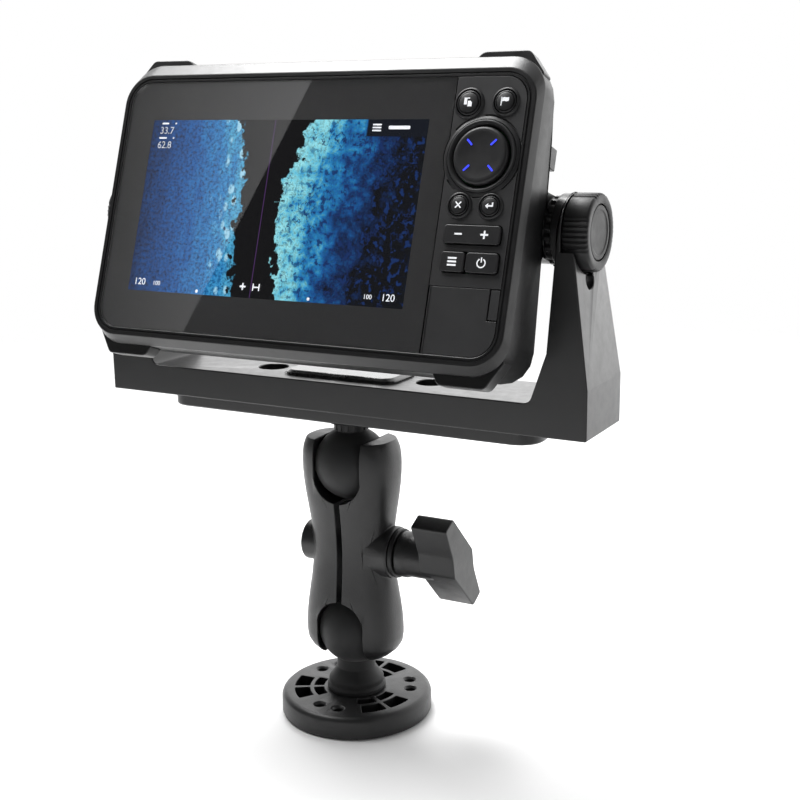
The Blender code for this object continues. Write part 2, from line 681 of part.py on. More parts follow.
def bracket_outline():
    """The bracket from the front: feet, leaning legs and the opening between them."""
    half = BRACKET_WIDTH / 2
    top = PIVOT_ABOVE_BRACKET + LEG_END_RADIUS
    lean = math.tan(LEG_LEAN)
    at_pivot = half - (PIVOT_ABOVE_BRACKET - LEG_BEND_HEIGHT) * lean
    at_top = half - (top - LEG_BEND_HEIGHT) * lean
    inner = at_pivot - LEG_WALL
    base = BRACKET_BASE_THICKNESS
    right = [(half, 0), (half, LEG_BEND_HEIGHT), (at_top, top), (inner + 0.0012, top),
             (inner - 0.0046, base + 0.0236)]
    right += arc((inner - 0.0155, base + 0.0040), 0.0040, -18, -90, 4)
    left = [(-x, z) for x, z in reversed(right)]
    return right + left


def bracket_side():
    """The bracket from the side: deep at the base, drawn in towards a round end at the pivot."""
    half = BRACKET_DEPTH / 2
    front = [(-half, -0.001), (half, -0.001), (half, LEG_BEND_HEIGHT)]
    end = arc((PIVOT_Y, PIVOT_ABOVE_BRACKET), LEG_END_RADIUS, 8, 180, 12)
    return front + end + [(-half, PIVOT_ABOVE_BRACKET - 0.004)]


def gimbal_bracket():
    obj = plate("gimbal_bracket", [bracket_outline()], BRACKET_DEPTH, "Y", at=(0, 0, BRACKET_BOTTOM))
    side = plate("bracket_side", [bracket_side()], BRACKET_WIDTH + 0.02, "X",
                 at=(0, 0, BRACKET_BOTTOM), cutter=True)
    change(obj, side, "INTERSECT")
    for hand, name in ((-1, "left"), (1, "right")):
        boss_end = RECESS_X - 0.0002
        boss = rod(f"bracket_boss_{name}", LEG_END_RADIUS - 0.0004, boss_end - LEG_BOSS_X, "X", segments=32,
                   at=(hand * (LEG_BOSS_X + boss_end) / 2, PIVOT_Y, PIVOT_Z), cutter=True)
        join(obj, boss)
        recess = rod(f"bracket_recess_{name}", SIDE_KNOB_RADIUS + 0.0014, 0.030, "X", segments=40,
                     at=(hand * (RECESS_X + 0.015), PIVOT_Y, PIVOT_Z), cutter=True)
        bore = rod(f"bracket_bore_{name}", PIVOT_BORE_RADIUS, 0.06, "X", segments=20,
                   at=(hand * LEG_BOSS_X, PIVOT_Y, PIVOT_Z), cutter=True)
        dimple = ball(f"bracket_dimple_{name}", 0.0052, 16, 10,
                      at=(hand * 0.1306, PIVOT_Y - 0.0010, PIVOT_Z - SIDE_KNOB_RADIUS - 0.0030), cutter=True)
        well = rod(f"bracket_well_{name}", WELL_RADIUS, 2 * WELL_DEPTH, segments=24,
                   at=(hand * PLATE_HOLE_SPACING / 2, 0, BRACKET_TOP), cutter=True)
        hole = rod(f"bracket_hole_{name}", PLATE_SCREW_RADIUS + GAP, 0.06, segments=16,
                   at=(hand * PLATE_HOLE_SPACING / 2, 0, BRACKET_BOTTOM), cutter=True)
        cut(obj, recess, bore, dimple, well, hole)
        leg_height = 0.040
        leg_pocket = box(f"bracket_leg_pocket_{name}", (0.0075, 0.020, leg_height),
                         at=(hand * 0.1262, BRACKET_DEPTH / 2, BRACKET_BOTTOM + 0.0345), cutter=True)
        cut(obj, leg_pocket)
        for i in range(2):
            pocket = box(f"bracket_pocket_{name}_{i}", (0.0340, 0.020, 0.0085),
                         at=(hand * (0.0250 + 0.0420 * i), BRACKET_DEPTH / 2 + 0.002,
                             BRACKET_BOTTOM + 0.0072), cutter=True)
            cut(obj, pocket)
    finish((0.023, 0.023, 0.024), 0.45, 0.0, obj)


def bracket_pad():
    """The raised pad on the bracket's base."""
    height = 0.0022
    rings = []
    for inset, level in ((0, 0), (0.0002, 0.0008), (0.0022, height)):
        outline = centred_rectangle(0.0640 - 2 * inset, 0.0300 - 2 * inset, 0.0070 - inset, 4)
        rings.append([(x, y, level) for x, y in outline])
    obj = loft("bracket_pad", rings, at=(0, 0, BRACKET_TOP + GAP))
    finish((0.028, 0.028, 0.029), 0.55, 0.0, obj)


# ------------------------------------------------------------------ side knobs
def side_knob(side, name):
    """A round grip on the tilt axis, hollowed for its washer, its stud and its cap."""
    axis_at = (0, PIVOT_Y, PIVOT_Z)
    outer = SIDE_KNOB_FACE_X
    edge = 0.0010
    profile = [(0, outer), (SIDE_KNOB_RADIUS - edge, outer), (SIDE_KNOB_RADIUS, outer - edge),
               (SIDE_KNOB_RADIUS, KNOB_INNER_X + 0.0020), (SIDE_KNOB_RADIUS - 0.0018, KNOB_INNER_X),
               (0, KNOB_INNER_X)]
    turn = (0, 0, 0 if side > 0 else math.pi)
    obj = turned(f"side_knob_{name}", profile, "X", steps=30, at=axis_at, turn=turn)

    def tool(label, radius, start, end):
        return rod(f"side_knob_{label}_{name}", radius, end - start, "X", segments=28,
                   at=(side * (start + end) / 2, PIVOT_Y, PIVOT_Z), cutter=True)

    cut(obj, tool("washer_seat", WASHER_RADIUS + RUNNING_GAP, KNOB_INNER_X - 0.002,
                  KNOB_INNER_X + WASHER_THICKNESS + GAP))
    cut(obj, tool("stud_hole", STUD_RADIUS + GAP, KNOB_INNER_X, outer - 0.0035))
    cut(obj, tool("cap_seat", CAP_RADIUS + GAP, outer - CAP_THICKNESS - GAP, outer + 0.002))
    finish((0.024, 0.024, 0.025), 0.45, 0.0, obj)

    stud_start = 0.1000
    stud_end = outer - 0.0035 - GAP
    stud = turned(f"side_stud_{name}", [(0, stud_end), (STUD_RADIUS - 0.0004, stud_end),
                                        (STUD_RADIUS, stud_end - 0.0006), (STUD_RADIUS, stud_start + 0.0010),
                                        (STUD_RADIUS - 0.0010, stud_start), (0, stud_start)],
                  "X", steps=20, at=axis_at, turn=turn)
    finish((0.60, 0.60, 0.62), 0.28, 1.0, stud)

    cap = turned(f"side_cap_{name}", [(0, outer - 0.0004), (CAP_RADIUS - 0.0006, outer - 0.0006),
                                      (CAP_RADIUS, outer - 0.0012), (CAP_RADIUS, outer - CAP_THICKNESS),
                                      (0, outer - CAP_THICKNESS)], "X", steps=32, at=axis_at, turn=turn)
    finish((0.030, 0.030, 0.031), 0.40, 0.0, cap)


def side_washer(side, name):
    """The thrust washer between a knob and the bracket's leg: it moves out with the knob."""
    outlines = [circle((0, 0), WASHER_RADIUS, 28), circle((0, 0), STUD_RADIUS + GAP, 20)]
    middle = KNOB_INNER_X + WASHER_THICKNESS / 2
    obj = plate(f"side_washer_{name}", outlines, WASHER_THICKNESS, "X", at=(side * middle, PIVOT_Y, PIVOT_Z))
    finish((0.55, 0.55, 0.57), 0.30, 1.0, obj)


def ratchet_ring(side, name):
    """The toothed ring on the head's pivot boss, which bears on the leg."""
    outline = []
    for i in range(RATCHET_TEETH):
        for share, radius in ((0.0, RATCHET_RADIUS - 0.0012), (0.25, RATCHET_RADIUS),
                              (0.60, RATCHET_RADIUS), (0.85, RATCHET_RADIUS - 0.0012)):
            angle = 2 * math.pi * (i + share) / RATCHET_TEETH
            outline.append((radius * math.cos(angle), radius * math.sin(angle)))
    obj = plate(f"ratchet_ring_{name}", [outline, circle((0, 0), PIVOT_BORE_RADIUS + 0.0004, 20)],
                RATCHET_THICKNESS, "X", at=(side * (RATCHET_X + RATCHET_THICKNESS / 2), 0, 0), parent=HEAD)
    finish((0.020, 0.020, 0.021), 0.40, 0.0, obj)


# ------------------------------------------------------------------ head: bezel and housing
def head_at(x=0.0, depth=0.0, height=0.0):
    """A place in the head's frame, from the face's middle: across, back from the face, and up."""
    return (x, FACE_Y + depth, FACE_Z + height)


def face_ring(width, low, high, corner, depth, slant=0.0):
    """A rounded outline at a depth behind the face. A slanted ring lies deeper towards the bottom."""
    outline = rounded_rectangle(-width / 2, width / 2, low, high, (corner,) * 4, 4)
    return [head_at(x, depth - z * math.tan(slant), z) for x, z in outline]


def face_cutter(name, outline, near, far):
    """A cutter through the head's face, from one depth to another."""
    return plate(name, [outline], far - near, "Y", at=head_at(0, (near + far) / 2), parent=HEAD, cutter=True)


def guard_outline(hand, up):
    """A corner guard from the front: a low pad that falls away round the corner."""
    crest = BEZEL_TOP + GUARD_RISE if up else -BEZEL_BOTTOM + GUARD_DROP
    edge = BEZEL_TOP if up else -BEZEL_BOTTOM
    side = BEZEL_WIDTH / 2
    points = [(side - 0.0360, edge - 0.0010), (side - 0.0330, crest), (side - 0.0100, crest),
              (side - 0.0015, edge - 0.0080), (side - 0.0080, edge - 0.0100)]
    if hand < 0:
        points = [(-x, z) for x, z in points]
    return points if up else [(x, -z) for x, z in points]


def front_bezel():
    rings = [
        face_ring(FACE_WIDTH, -FACE_HEIGHT / 2, FACE_HEIGHT / 2, FACE_CORNER, 0),
        face_ring(BEZEL_WIDTH, BEZEL_BOTTOM, BEZEL_TOP, FACE_CORNER + 0.0020, BEZEL_CHAMFER),
        face_ring(BEZEL_WIDTH, BEZEL_BOTTOM, BEZEL_TOP, FACE_CORNER + 0.0020, BEZEL_DEPTH),
    ]
    obj = loft("front_bezel", rings, parent=HEAD)
    for hand in (-1, 1):
        for up in (True, False):
            name = f"guard_{hand}_{up}"
            near, far = 0.0065, BEZEL_DEPTH - 0.0003
            guard = face_cutter(name, guard_outline(hand, up), near, far)
            join(obj, guard)
    recess = centred_rectangle(WINDOW_WIDTH, WINDOW_HEIGHT, PANEL_CORNER, 5)
    cut(obj, face_cutter("bezel_recess", recess, -0.002, LEDGE_DEPTH))
    half = WINDOW_HEIGHT / 2 - LEDGE
    corner = PANEL_CORNER - LEDGE
    left = rounded_rectangle(WINDOW_LEFT, WINDOW_MIDDLE - MULLION_LEFT, -half, half,
                             (0.002, 0.002, corner, corner), 4)
    right = rounded_rectangle(KEY_WINDOW_LEFT, -WINDOW_LEFT, -half, half,
                              (corner, corner, 0.002, 0.002), 4)
    cut(obj, face_cutter("bezel_window_left", left, 0, BEZEL_DEPTH + 0.002))
    cut(obj, face_cutter("bezel_window_right", right, 0, BEZEL_DEPTH + 0.002))
    pin_hole = rod("bezel_pin_hole", DOOR_PIN_RADIUS + GAP, 0.0040, "Z", segments=12,
                   at=head_at(DOOR_AXIS_X, DOOR_AXIS_DEPTH, DOOR_BOTTOM), parent=HEAD, cutter=True)
    cut(obj, pin_hole)
    finish((0.018, 0.018, 0.019), 0.40, 0.0, obj)


def housing_rings(wall):
    """The rear housing's outline at each depth, drawn in by the wall thickness."""
    width = BEZEL_WIDTH - 2 * HOUSING_INSET - 2 * wall
    low = BEZEL_BOTTOM + HOUSING_INSET + wall
    high = BEZEL_TOP - HOUSING_INSET - wall
    corner = FACE_CORNER - wall
    front = BEZEL_DEPTH + GAP if not wall else BEZEL_DEPTH - 0.002
    back = HOUSING_DEPTH - wall
    inset = HOUSING_CHAMFER
    hump = (HUMP_WIDTH - 2 * wall, -HUMP_HEIGHT / 2 + wall, HUMP_HEIGHT / 2 - wall)
    return [
        face_ring(width, low, high, corner, front),
        face_ring(width, low, high, corner, HOUSING_SHOULDER - wall * 0.6, HOUSING_SLANT),
        face_ring(width - 2 * inset, low + inset, high - inset, corner,
                  HOUSING_SHOULDER + 0.0080 - wall * 0.9, HOUSING_SLANT),
        face_ring(*hump, 0.0100 - wall, back),
    ]


def rear_housing():
    """The moulded shell behind the bezel, with its pivot arms, screw posts and cooling ribs."""
    obj = loft("rear_housing", housing_rings(0), parent=HEAD)
    boss_end = RATCHET_X - GAP
    for hand, name in ((-1, "left"), (1, "right")):
        arm_start = 0.0830
        arm = rod(f"housing_pivot_{name}", LEG_END_RADIUS - 0.0025, boss_end - arm_start, "X", segments=28,
                  at=(hand * (arm_start + boss_end) / 2, 0, 0), parent=HEAD, cutter=True)
        web = box(f"housing_web_{name}", (0.0200, 0.0240, 0.0290),
                  at=(hand * 0.1018, -0.0120, 0.0), parent=HEAD, cutter=True)
        tab = box(f"housing_tab_{name}", (0.0080, 0.0120, 0.0100),
                  at=(hand * (BEZEL_WIDTH / 2 - HOUSING_INSET - 0.0042), FACE_Y + 0.0250, FACE_Z + 0.0330),
                  parent=HEAD, cutter=True)
        join(obj, arm, web, tab)
    inside = loft("housing_inside", housing_rings(HOUSING_WALL), parent=HEAD, cutter=True)
    cut(obj, inside)
    for hand in (-1, 1):
        for up in (-1, 1):
            spot = f"{hand}_{up}"
            x, z = hand * SCREW_X, up * SCREW_Z
            post = rod(f"housing_post_{spot}", 0.0060, 0.0120, "Y", segments=20,
                       at=head_at(x, HOUSING_DEPTH - 0.0070, z), parent=HEAD, cutter=True)
            sink = rod(f"housing_sink_{spot}", SCREW_HEAD_RADIUS + GAP, 0.0060, "Y", segments=20,
                       at=head_at(x, HOUSING_DEPTH, z), parent=HEAD, cutter=True)
            bore = rod(f"housing_screw_hole_{spot}", SCREW_SHANK_RADIUS + GAP, 0.0400, "Y", segments=14,
                       at=head_at(x, HOUSING_DEPTH - 0.0100, z), parent=HEAD, cutter=True)
            join(obj, post)
            cut(obj, sink, bore)
    for hand, name in ((-1, "left"), (1, "right")):
        stud_hole = rod(f"housing_stud_hole_{name}", PIVOT_BORE_RADIUS, 0.0400, "X", segments=20,
                        at=(hand * 0.1080, 0, 0), parent=HEAD, cutter=True)
        cut(obj, stud_hole)
    for i in range(RIB_COUNT):
        x = (i - (RIB_COUNT - 1) / 2) * RIB_PITCH
        groove = box(f"housing_groove_{i}", (RIB_PITCH * 0.5, 0.0024, 0.0400),
                     at=head_at(x, HOUSING_DEPTH, 0.0160), parent=HEAD, cutter=True)
        cut(obj, groove)
    for name, x in SOCKETS:
        hole = rod(f"housing_{name}_hole", SOCKET_RADIUS - 0.0010, 0.0200, "Y", segments=24,
                   at=head_at(x, HOUSING_DEPTH, SOCKET_Z), parent=HEAD, cutter=True)
        cut(obj, hole)
    finish((0.026, 0.026, 0.027), 0.50, 0.0, obj)


def housing_screw(hand, up):
    name = f"housing_screw_{'left' if hand < 0 else 'right'}_{'low' if up < 0 else 'high'}"
    outer = HOUSING_DEPTH - 0.0006
    inner = outer - 0.0022
    end = HOUSING_DEPTH - 0.0160
    profile = [(0, outer), (SCREW_HEAD_RADIUS - 0.0006, outer), (SCREW_HEAD_RADIUS, outer - 0.0007),
               (SCREW_HEAD_RADIUS, inner), (SCREW_SHANK_RADIUS, inner), (SCREW_SHANK_RADIUS, end), (0, end)]
    x, z = hand * SCREW_X, up * SCREW_Z
    obj = turned(name, profile, "Y", steps=12, at=head_at(x, 0, z), parent=HEAD)
    hex_socket = rod(name + "_socket", 0.0018, 0.0030, "Y", segments=6,
                     at=head_at(x, outer, z), parent=HEAD, cutter=True)
    cut(obj, hex_socket)
    finish((0.55, 0.55, 0.57), 0.30, 1.0, obj)


def cable_socket(name, x):
    """A threaded round connector: its plug face is set back in the barrel."""
    back = HOUSING_DEPTH + GAP
    recess, pin = 0.0034, 0.0007
    outer = back + SOCKET_LENGTH
    bore = SOCKET_RADIUS - 0.0018
    profile = [(0, outer - recess), (bore, outer - recess), (bore, outer), (SOCKET_RADIUS - 0.0004, outer),
               (SOCKET_RADIUS, outer - 0.0006), (SOCKET_RADIUS, back + 0.0024),
               (SOCKET_RADIUS + 0.0020, back + 0.0020), (SOCKET_RADIUS + 0.0020, back),
               (SOCKET_RADIUS - 0.0014, back), (SOCKET_RADIUS - 0.0014, HOUSING_DEPTH - 0.0080),
               (0, HOUSING_DEPTH - 0.0080)]
    obj = turned(f"{name}_socket", profile, "Y", steps=20, at=head_at(x, 0, SOCKET_Z), parent=HEAD)
    for i in range(3):
        angle = 2 * math.pi * i / 3 + math.pi / 2
        spot = (x + 0.0034 * math.cos(angle), SOCKET_Z + 0.0034 * math.sin(angle))
        contact = rod(f"{name}_contact_{i}", pin, 0.0034, "Y", segments=6,
                      at=head_at(spot[0], outer - recess + 0.0010, spot[1]), parent=HEAD, cutter=True)
        join(obj, contact)
    finish((0.030, 0.030, 0.031), 0.45, 0.0, obj)


def housing_gasket():
    """The seal that the housing's mouth presses on the bezel's back."""
    inset = HOUSING_INSET + HOUSING_WALL + GASKET_CLEARANCE
    width = BEZEL_WIDTH - 2 * inset
    low, high = BEZEL_BOTTOM + inset, BEZEL_TOP - inset
    corner = FACE_CORNER - HOUSING_WALL - GASKET_CLEARANCE
    section = GASKET_SECTION
    outer = rounded_rectangle(-width / 2, width / 2, low, high, (corner,) * 4, 5)
    inner = rounded_rectangle(-width / 2 + section, width / 2 - section, low + section, high - section,
                              (corner - section,) * 4, 5)
    near = BEZEL_DEPTH + GAP
    middle = near + section / 2
    obj = plate("housing_gasket", [outer, inner], section, "Y", at=head_at(0, middle), parent=HEAD)
    finish((0.010, 0.010, 0.010), 0.85, 0.0, obj)


# ------------------------------------------------------------------ head: display
def bulge(line, radius):
    """The arc, from its top down, by which the key panel passes a line left of the cursor ring."""
    half = math.degrees(math.acos((CURSOR_CENTRE[0] - line) / radius))
    return arc(CURSOR_CENTRE, radius, 180 - half, 180 + half, 6)


def front_glass():
    """The cover glass: rounded at the left corners and square where the key panel starts."""
    half = PANEL_HEIGHT / 2
    outline = rounded_rectangle(-PANEL_RIGHT, GLASS_RIGHT, -half, half, (0, 0, PANEL_CORNER, PANEL_CORNER), 6)
    outline[1:1] = reversed(bulge(GLASS_RIGHT, CURSOR_BULGE_RADIUS + GAP))
    middle = PANEL_THICKNESS / 2
    obj = plate("front_glass", [outline], PANEL_THICKNESS, "Y", at=head_at(0, middle), parent=HEAD)
    finish((0.012, 0.012, 0.014), 0.06, 0.0, obj)


def lcd_panel():
    near = LEDGE_DEPTH
    size = (SCREEN_WIDTH + 2 * LCD_MARGIN, LCD_THICKNESS, SCREEN_HEIGHT + 2 * LCD_MARGIN)
    obj = box("lcd_panel", size, at=head_at(SCREEN_CENTRE_X, near + LCD_THICKNESS / 2), parent=HEAD)
    soften(obj, 0.0006)
    finish((0.020, 0.060, 0.160), 0.20, 0.0, obj)


def display_chassis():
    """The cast tray behind the display: it carries heat to the back and the main board on its rim."""
    depth = CHASSIS_FAR - CHASSIS_NEAR
    width, height = SCREEN_WIDTH + 2 * LCD_MARGIN, SCREEN_HEIGHT + 2 * LCD_MARGIN
    obj = box("display_chassis", (width, depth, height),
              at=head_at(SCREEN_CENTRE_X, (CHASSIS_NEAR + CHASSIS_FAR) / 2), parent=HEAD)
    tray = box("chassis_tray", (width - 2 * CHASSIS_WALL, depth, height - 2 * CHASSIS_WALL),
               at=head_at(SCREEN_CENTRE_X, (CHASSIS_NEAR + CHASSIS_FAR) / 2 + CHASSIS_FLOOR),
               parent=HEAD, cutter=True)
    cut(obj, tray)
    finish((0.62, 0.62, 0.64), 0.45, 1.0, obj)


def main_board():
    size = (SCREEN_WIDTH + 0.020, BOARD_THICKNESS, SCREEN_HEIGHT + 0.010)
    near = CHASSIS_FAR + GAP
    middle = near + BOARD_THICKNESS / 2
    obj = box("main_board", size, at=head_at(SCREEN_CENTRE_X + 0.004, middle), parent=HEAD)
    finish((0.02, 0.16, 0.06), 0.55, 0.0, obj)


# ------------------------------------------------------------------ head: keys
def bar_outline(x, height, width, tall, grow=0.0, corner=0.0016):
    return centred_rectangle(width + 2 * grow, tall + 2 * grow, corner + grow, 3, (x, height))


def keypad_panel():
    """The moulded panel right of the glass, pierced for every key."""
    top = PANEL_HEIGHT / 2
    outline = rounded_rectangle(PANEL_LEFT, PANEL_RIGHT, PANEL_BOTTOM, top, (0, PANEL_CORNER, 0, 0), 6)
    outline[-1:-1] = bulge(PANEL_LEFT, CURSOR_BULGE_RADIUS)
    holes = [circle((x, z), radius + KEY_GAP, 20) for name, (x, z, radius) in ROUND_KEYS]
    holes.append(circle(CURSOR_CENTRE, CURSOR_RING_RADIUS + GAP, 36))
    holes.append(bar_outline(*ZOOM_KEY, grow=KEY_GAP))
    holes.append(bar_outline(*LOWER_BAR, grow=KEY_GAP))
    obj = plate("keypad_panel", [outline] + holes, PANEL_THICKNESS, "Y",
                at=head_at(0, PANEL_THICKNESS / 2), parent=HEAD)
    pin_hole = rod("panel_pin_hole", DOOR_PIN_RADIUS + GAP, 0.0040, "Z", segments=12,
                   at=head_at(DOOR_AXIS_X, DOOR_AXIS_DEPTH, PANEL_BOTTOM), parent=HEAD, cutter=True)
    cut(obj, pin_hole)
    finish((0.034, 0.034, 0.035), 0.50, 0.0, obj)


def keypad_board():
    """The switch board behind the keys."""
    width = -WINDOW_LEFT - KEY_WINDOW_LEFT - 2 * GAP
    top = WINDOW_HEIGHT / 2 - LEDGE - 0.008
    bottom = PANEL_BOTTOM + 0.001
    obj = box("keypad_board", (width, BOARD_THICKNESS, top - bottom),
              at=head_at(KEY_WINDOW_MIDDLE, KEYPAD_BOARD_NEAR + BOARD_THICKNESS / 2, (top + bottom) / 2),
              parent=HEAD)
    finish((0.02, 0.16, 0.06), 0.55, 0.0, obj)


def round_key(name, x, height, radius):
    """A domed round key, which slides straight in."""
    back, front = KEY_BACK, -KEY_RISE
    profile = [(0, back), (radius, back), (radius, front + 0.0006), (radius - 0.0007, front + 0.0001),
               (0, front)]
    obj = turned(name, profile, "Y", steps=20, at=head_at(x, 0, height), parent=HEAD)
    finish((0.028, 0.028, 0.029), 0.45, 0.0, obj)


def bar_key(name, x, height, width, tall):
    outline = bar_outline(0, 0, width, tall)
    middle = (KEY_BACK - KEY_RISE) / 2
    obj = plate(name, [outline], KEY_BACK + KEY_RISE, "Y", at=head_at(x, middle, height), parent=HEAD)
    finish((0.028, 0.028, 0.029), 0.45, 0.0, obj)


def cursor_ring():
    """The fixed dished ring round the cursor pad."""
    inner = CURSOR_PAD_RADIUS + 0.0006
    outer = CURSOR_RING_RADIUS
    x, z = CURSOR_CENTRE
    near, far = -0.0012, PANEL_THICKNESS
    profile = [(inner, near + 0.0010), (inner, far), (outer, far), (outer, near + 0.0008),
               (outer - 0.0010, near)]
    obj = turned_ring("cursor_ring", profile, at=head_at(x, 0, z), parent=HEAD)
    finish((0.020, 0.020, 0.021), 0.35, 0.0, obj)


def turned_ring(name, profile, steps=36, **where):
    """A closed profile of (radius, depth) points, turned about the line across the face."""
    mesh = bpy.data.meshes.new(name)
    edges = [(i, (i + 1) % len(profile)) for i in range(len(profile))]
    mesh.from_pydata([(radius, depth, 0) for radius, depth in profile], edges, [])
    obj = place(bpy.data.objects.new(name, mesh), **where)
    screw = obj.modifiers.new("turn", "SCREW")
    screw.axis = "Y"
    screw.steps = steps
    screw.render_steps = steps
    screw.use_merge_vertices = True
    screw.merge_threshold = 1e-6
    screw.use_smooth_shade = True
    return obj


def cursor_pivot():
    """The small hinge plate that the pad rocks on."""
    x, z = CURSOR_CENTRE
    near = CURSOR_BACK + GAP
    length = 0.0016
    obj = rod("cursor_pivot", 0.0040, length, "Y", segments=16, at=head_at(x, near + length / 2, z),
              parent=HEAD)
    finish((0.10, 0.10, 0.10), 0.6, 0.0, obj)


def cursor_pad():
    """The round pad: hollow behind, with four slots for its lights."""
    x, z = CURSOR_CENTRE
    r, rise, skin = CURSOR_PAD_RADIUS, CURSOR_PAD_RISE, 0.0012
    profile = [(0, CURSOR_BACK), (r, CURSOR_BACK), (r, -rise + 0.0012), (r - 0.0012, -rise + 0.0002),
               (0, -rise)]
    obj = turned("cursor_pad", profile, "Y", steps=32, at=head_at(x, 0, z), parent=HEAD)
    hollow = rod("cursor_hollow", r - 0.0016, 0.0060, "Y", segments=28,
                 at=head_at(x, -rise + skin + 0.0030, z), parent=HEAD, cutter=True)
    cut(obj, hollow)
    for i in range(4):
        slot = box(f"cursor_slot_{i}", (LIGHT_LENGTH + 2 * GAP, 0.0060, LIGHT_WIDTH + 2 * GAP),
                   **light_place(i, -rise), cutter=True)
        cut(obj, slot)
    finish((0.024, 0.024, 0.025), 0.35, 0.0, obj)


def light_place(index, depth):
    """Where each of the pad's four lights lies: on its diagonals."""
    angle = math.pi / 4 + index * math.pi / 2
    x = CURSOR_CENTRE[0] + LIGHT_CIRCLE * math.cos(angle)
    z = CURSOR_CENTRE[1] + LIGHT_CIRCLE * math.sin(angle)
    return dict(at=head_at(x, depth, z), turn=(0, -angle, 0), parent=HEAD)


def cursor_light():
    """The clear light guide inside the pad: a cross whose four tips show."""
    x, z = CURSOR_CENTRE
    front = -CURSOR_PAD_RISE + 0.0001
    cross_near = -CURSOR_PAD_RISE + 0.0012 + GAP
    cross_far = cross_near + 0.0010
    reach = 2 * LIGHT_CIRCLE + LIGHT_LENGTH
    bars = []
    for i in range(2):
        middle = (cross_near + cross_far) / 2
        bar = box("cursor_light" if i == 0 else "cursor_light_bar", (reach, cross_far - cross_near, 0.0020),
                  at=head_at(x, middle, z), turn=(0, -math.pi / 4 - i * math.pi / 2, 0), parent=HEAD,
                  cutter=i > 0)
        bars.append(bar)
    join(bars[0], bars[1])
    for i in range(4):
        tip = box(f"cursor_light_tip_{i}", (LIGHT_LENGTH, cross_far - front - 0.0002, LIGHT_WIDTH),
                  **light_place(i, (front + cross_far - 0.0002) / 2), cutter=True)
        join(bars[0], tip)
    finish((0.05, 0.06, 0.9), 0.3, 0.0, bars[0])


# ------------------------------------------------------------------ head: card bay
def card_door():
    """The door over the card slot: it swings on two moulded pins at its left edge."""
    left = DOOR_AXIS_X
    outline = [(left, DOOR_BOTTOM)]
    outline += rounded_rectangle(left, PANEL_RIGHT, DOOR_BOTTOM, DOOR_TOP, (PANEL_CORNER, 0, 0, 0), 6)[:-3]
    notch_x = PANEL_RIGHT - LATCH_WIDTH - GAP
    notch_z = DOOR_TOP - LATCH_HEIGHT - GAP
    outline += [(PANEL_RIGHT, notch_z), (notch_x, notch_z), (notch_x, DOOR_TOP), (left, DOOR_TOP)]
    obj = plate("card_door", [outline], PANEL_THICKNESS, "Y", at=head_at(0, DOOR_AXIS_DEPTH), parent=HEAD)
    tall = DOOR_TOP - DOOR_BOTTOM
    middle = (DOOR_TOP + DOOR_BOTTOM) / 2
    knuckle = rod("door_knuckle", PANEL_THICKNESS / 2 * 0.98, tall - 0.0001, "Z", segments=20,
                  at=head_at(DOOR_AXIS_X, DOOR_AXIS_DEPTH, middle), parent=HEAD, cutter=True)
    pin = rod("door_pin", DOOR_PIN_RADIUS, tall + 0.0026, "Z", segments=12,
              at=head_at(DOOR_AXIS_X, DOOR_AXIS_DEPTH, middle), parent=HEAD, cutter=True)
    join(obj, knuckle, pin)
    finish((0.034, 0.034, 0.035), 0.50, 0.0, obj)


def door_latch():
    """The small fixed catch that the door's notch closes round."""
    right, top = PANEL_RIGHT, DOOR_TOP - GAP
    outline = rounded_rectangle(right - LATCH_WIDTH + GAP, right, top - LATCH_HEIGHT + 2 * GAP, top, (0,) * 4)
    obj = plate("door_latch", [outline], PANEL_THICKNESS, "Y", at=head_at(0, PANEL_THICKNESS / 2), parent=HEAD)
    finish((0.034, 0.034, 0.035), 0.50, 0.0, obj)


def card_reader():
    """The reader behind the door, with the slot that takes a card."""
    near = LEDGE_DEPTH + 0.0012
    x = KEY_WINDOW_MIDDLE
    z = (DOOR_TOP + DOOR_BOTTOM) / 2 + 0.0020
    obj = box("card_reader", (READER_WIDTH, READER_DEPTH, READER_HEIGHT),
              at=head_at(x, near + READER_DEPTH / 2, z), parent=HEAD)
    for hand in (-1, 1):
        slot = box(f"card_slot_{hand}", (READER_WIDTH * 0.82, READER_DEPTH * 1.4, 0.0024),
                   at=head_at(x, near, z + hand * READER_HEIGHT / 5), parent=HEAD, cutter=True)
        cut(obj, slot)
    finish((0.045, 0.045, 0.046), 0.55, 0.0, obj)


# ------------------------------------------------------------------ the whole object
clear_scene()
PARTS = new_collection("fish_finder")
CUTTERS = new_collection("fish_finder_cutters")
HEAD = empty("head_tilt_axis", at=(0, PIVOT_Y, PIVOT_Z), turn=(-HEAD_TILT, 0, 0))

base_plate()
lower_ball_stud()
both_sides(arm_half)
clamp_bolt()
arm_spring()
clamp_washer()
arm_knob()
knob_insert()
upper_ball_stud()
mount_plate()
both_sides(plate_screw)
gimbal_bracket()
bracket_pad()
both_sides(side_knob)
both_sides(side_washer)
both_sides(ratchet_ring)

front_bezel()
rear_housing()
housing_gasket()
for screw_hand in (-1, 1):
    for screw_up in (-1, 1):
        housing_screw(screw_hand, screw_up)
for socket_name, socket_x in SOCKETS:
    cable_socket(socket_name, socket_x)

front_glass()
lcd_panel()
display_chassis()
main_board()

keypad_panel()
keypad_board()
for key_name, (key_x, key_height, key_radius) in ROUND_KEYS:
    round_key(key_name, key_x, key_height, key_radius)
bar_key("zoom_key", *ZOOM_KEY)
bar_key("menu_key", MENU_X, LOWER_BAR[1], MENU_WIDTH, LOWER_BAR[3])
bar_key("power_key", POWER_X, LOWER_BAR[1], POWER_WIDTH, LOWER_BAR[3])
cursor_ring()
cursor_pivot()
cursor_pad()
cursor_light()
card_door()
door_latch()
card_reader()
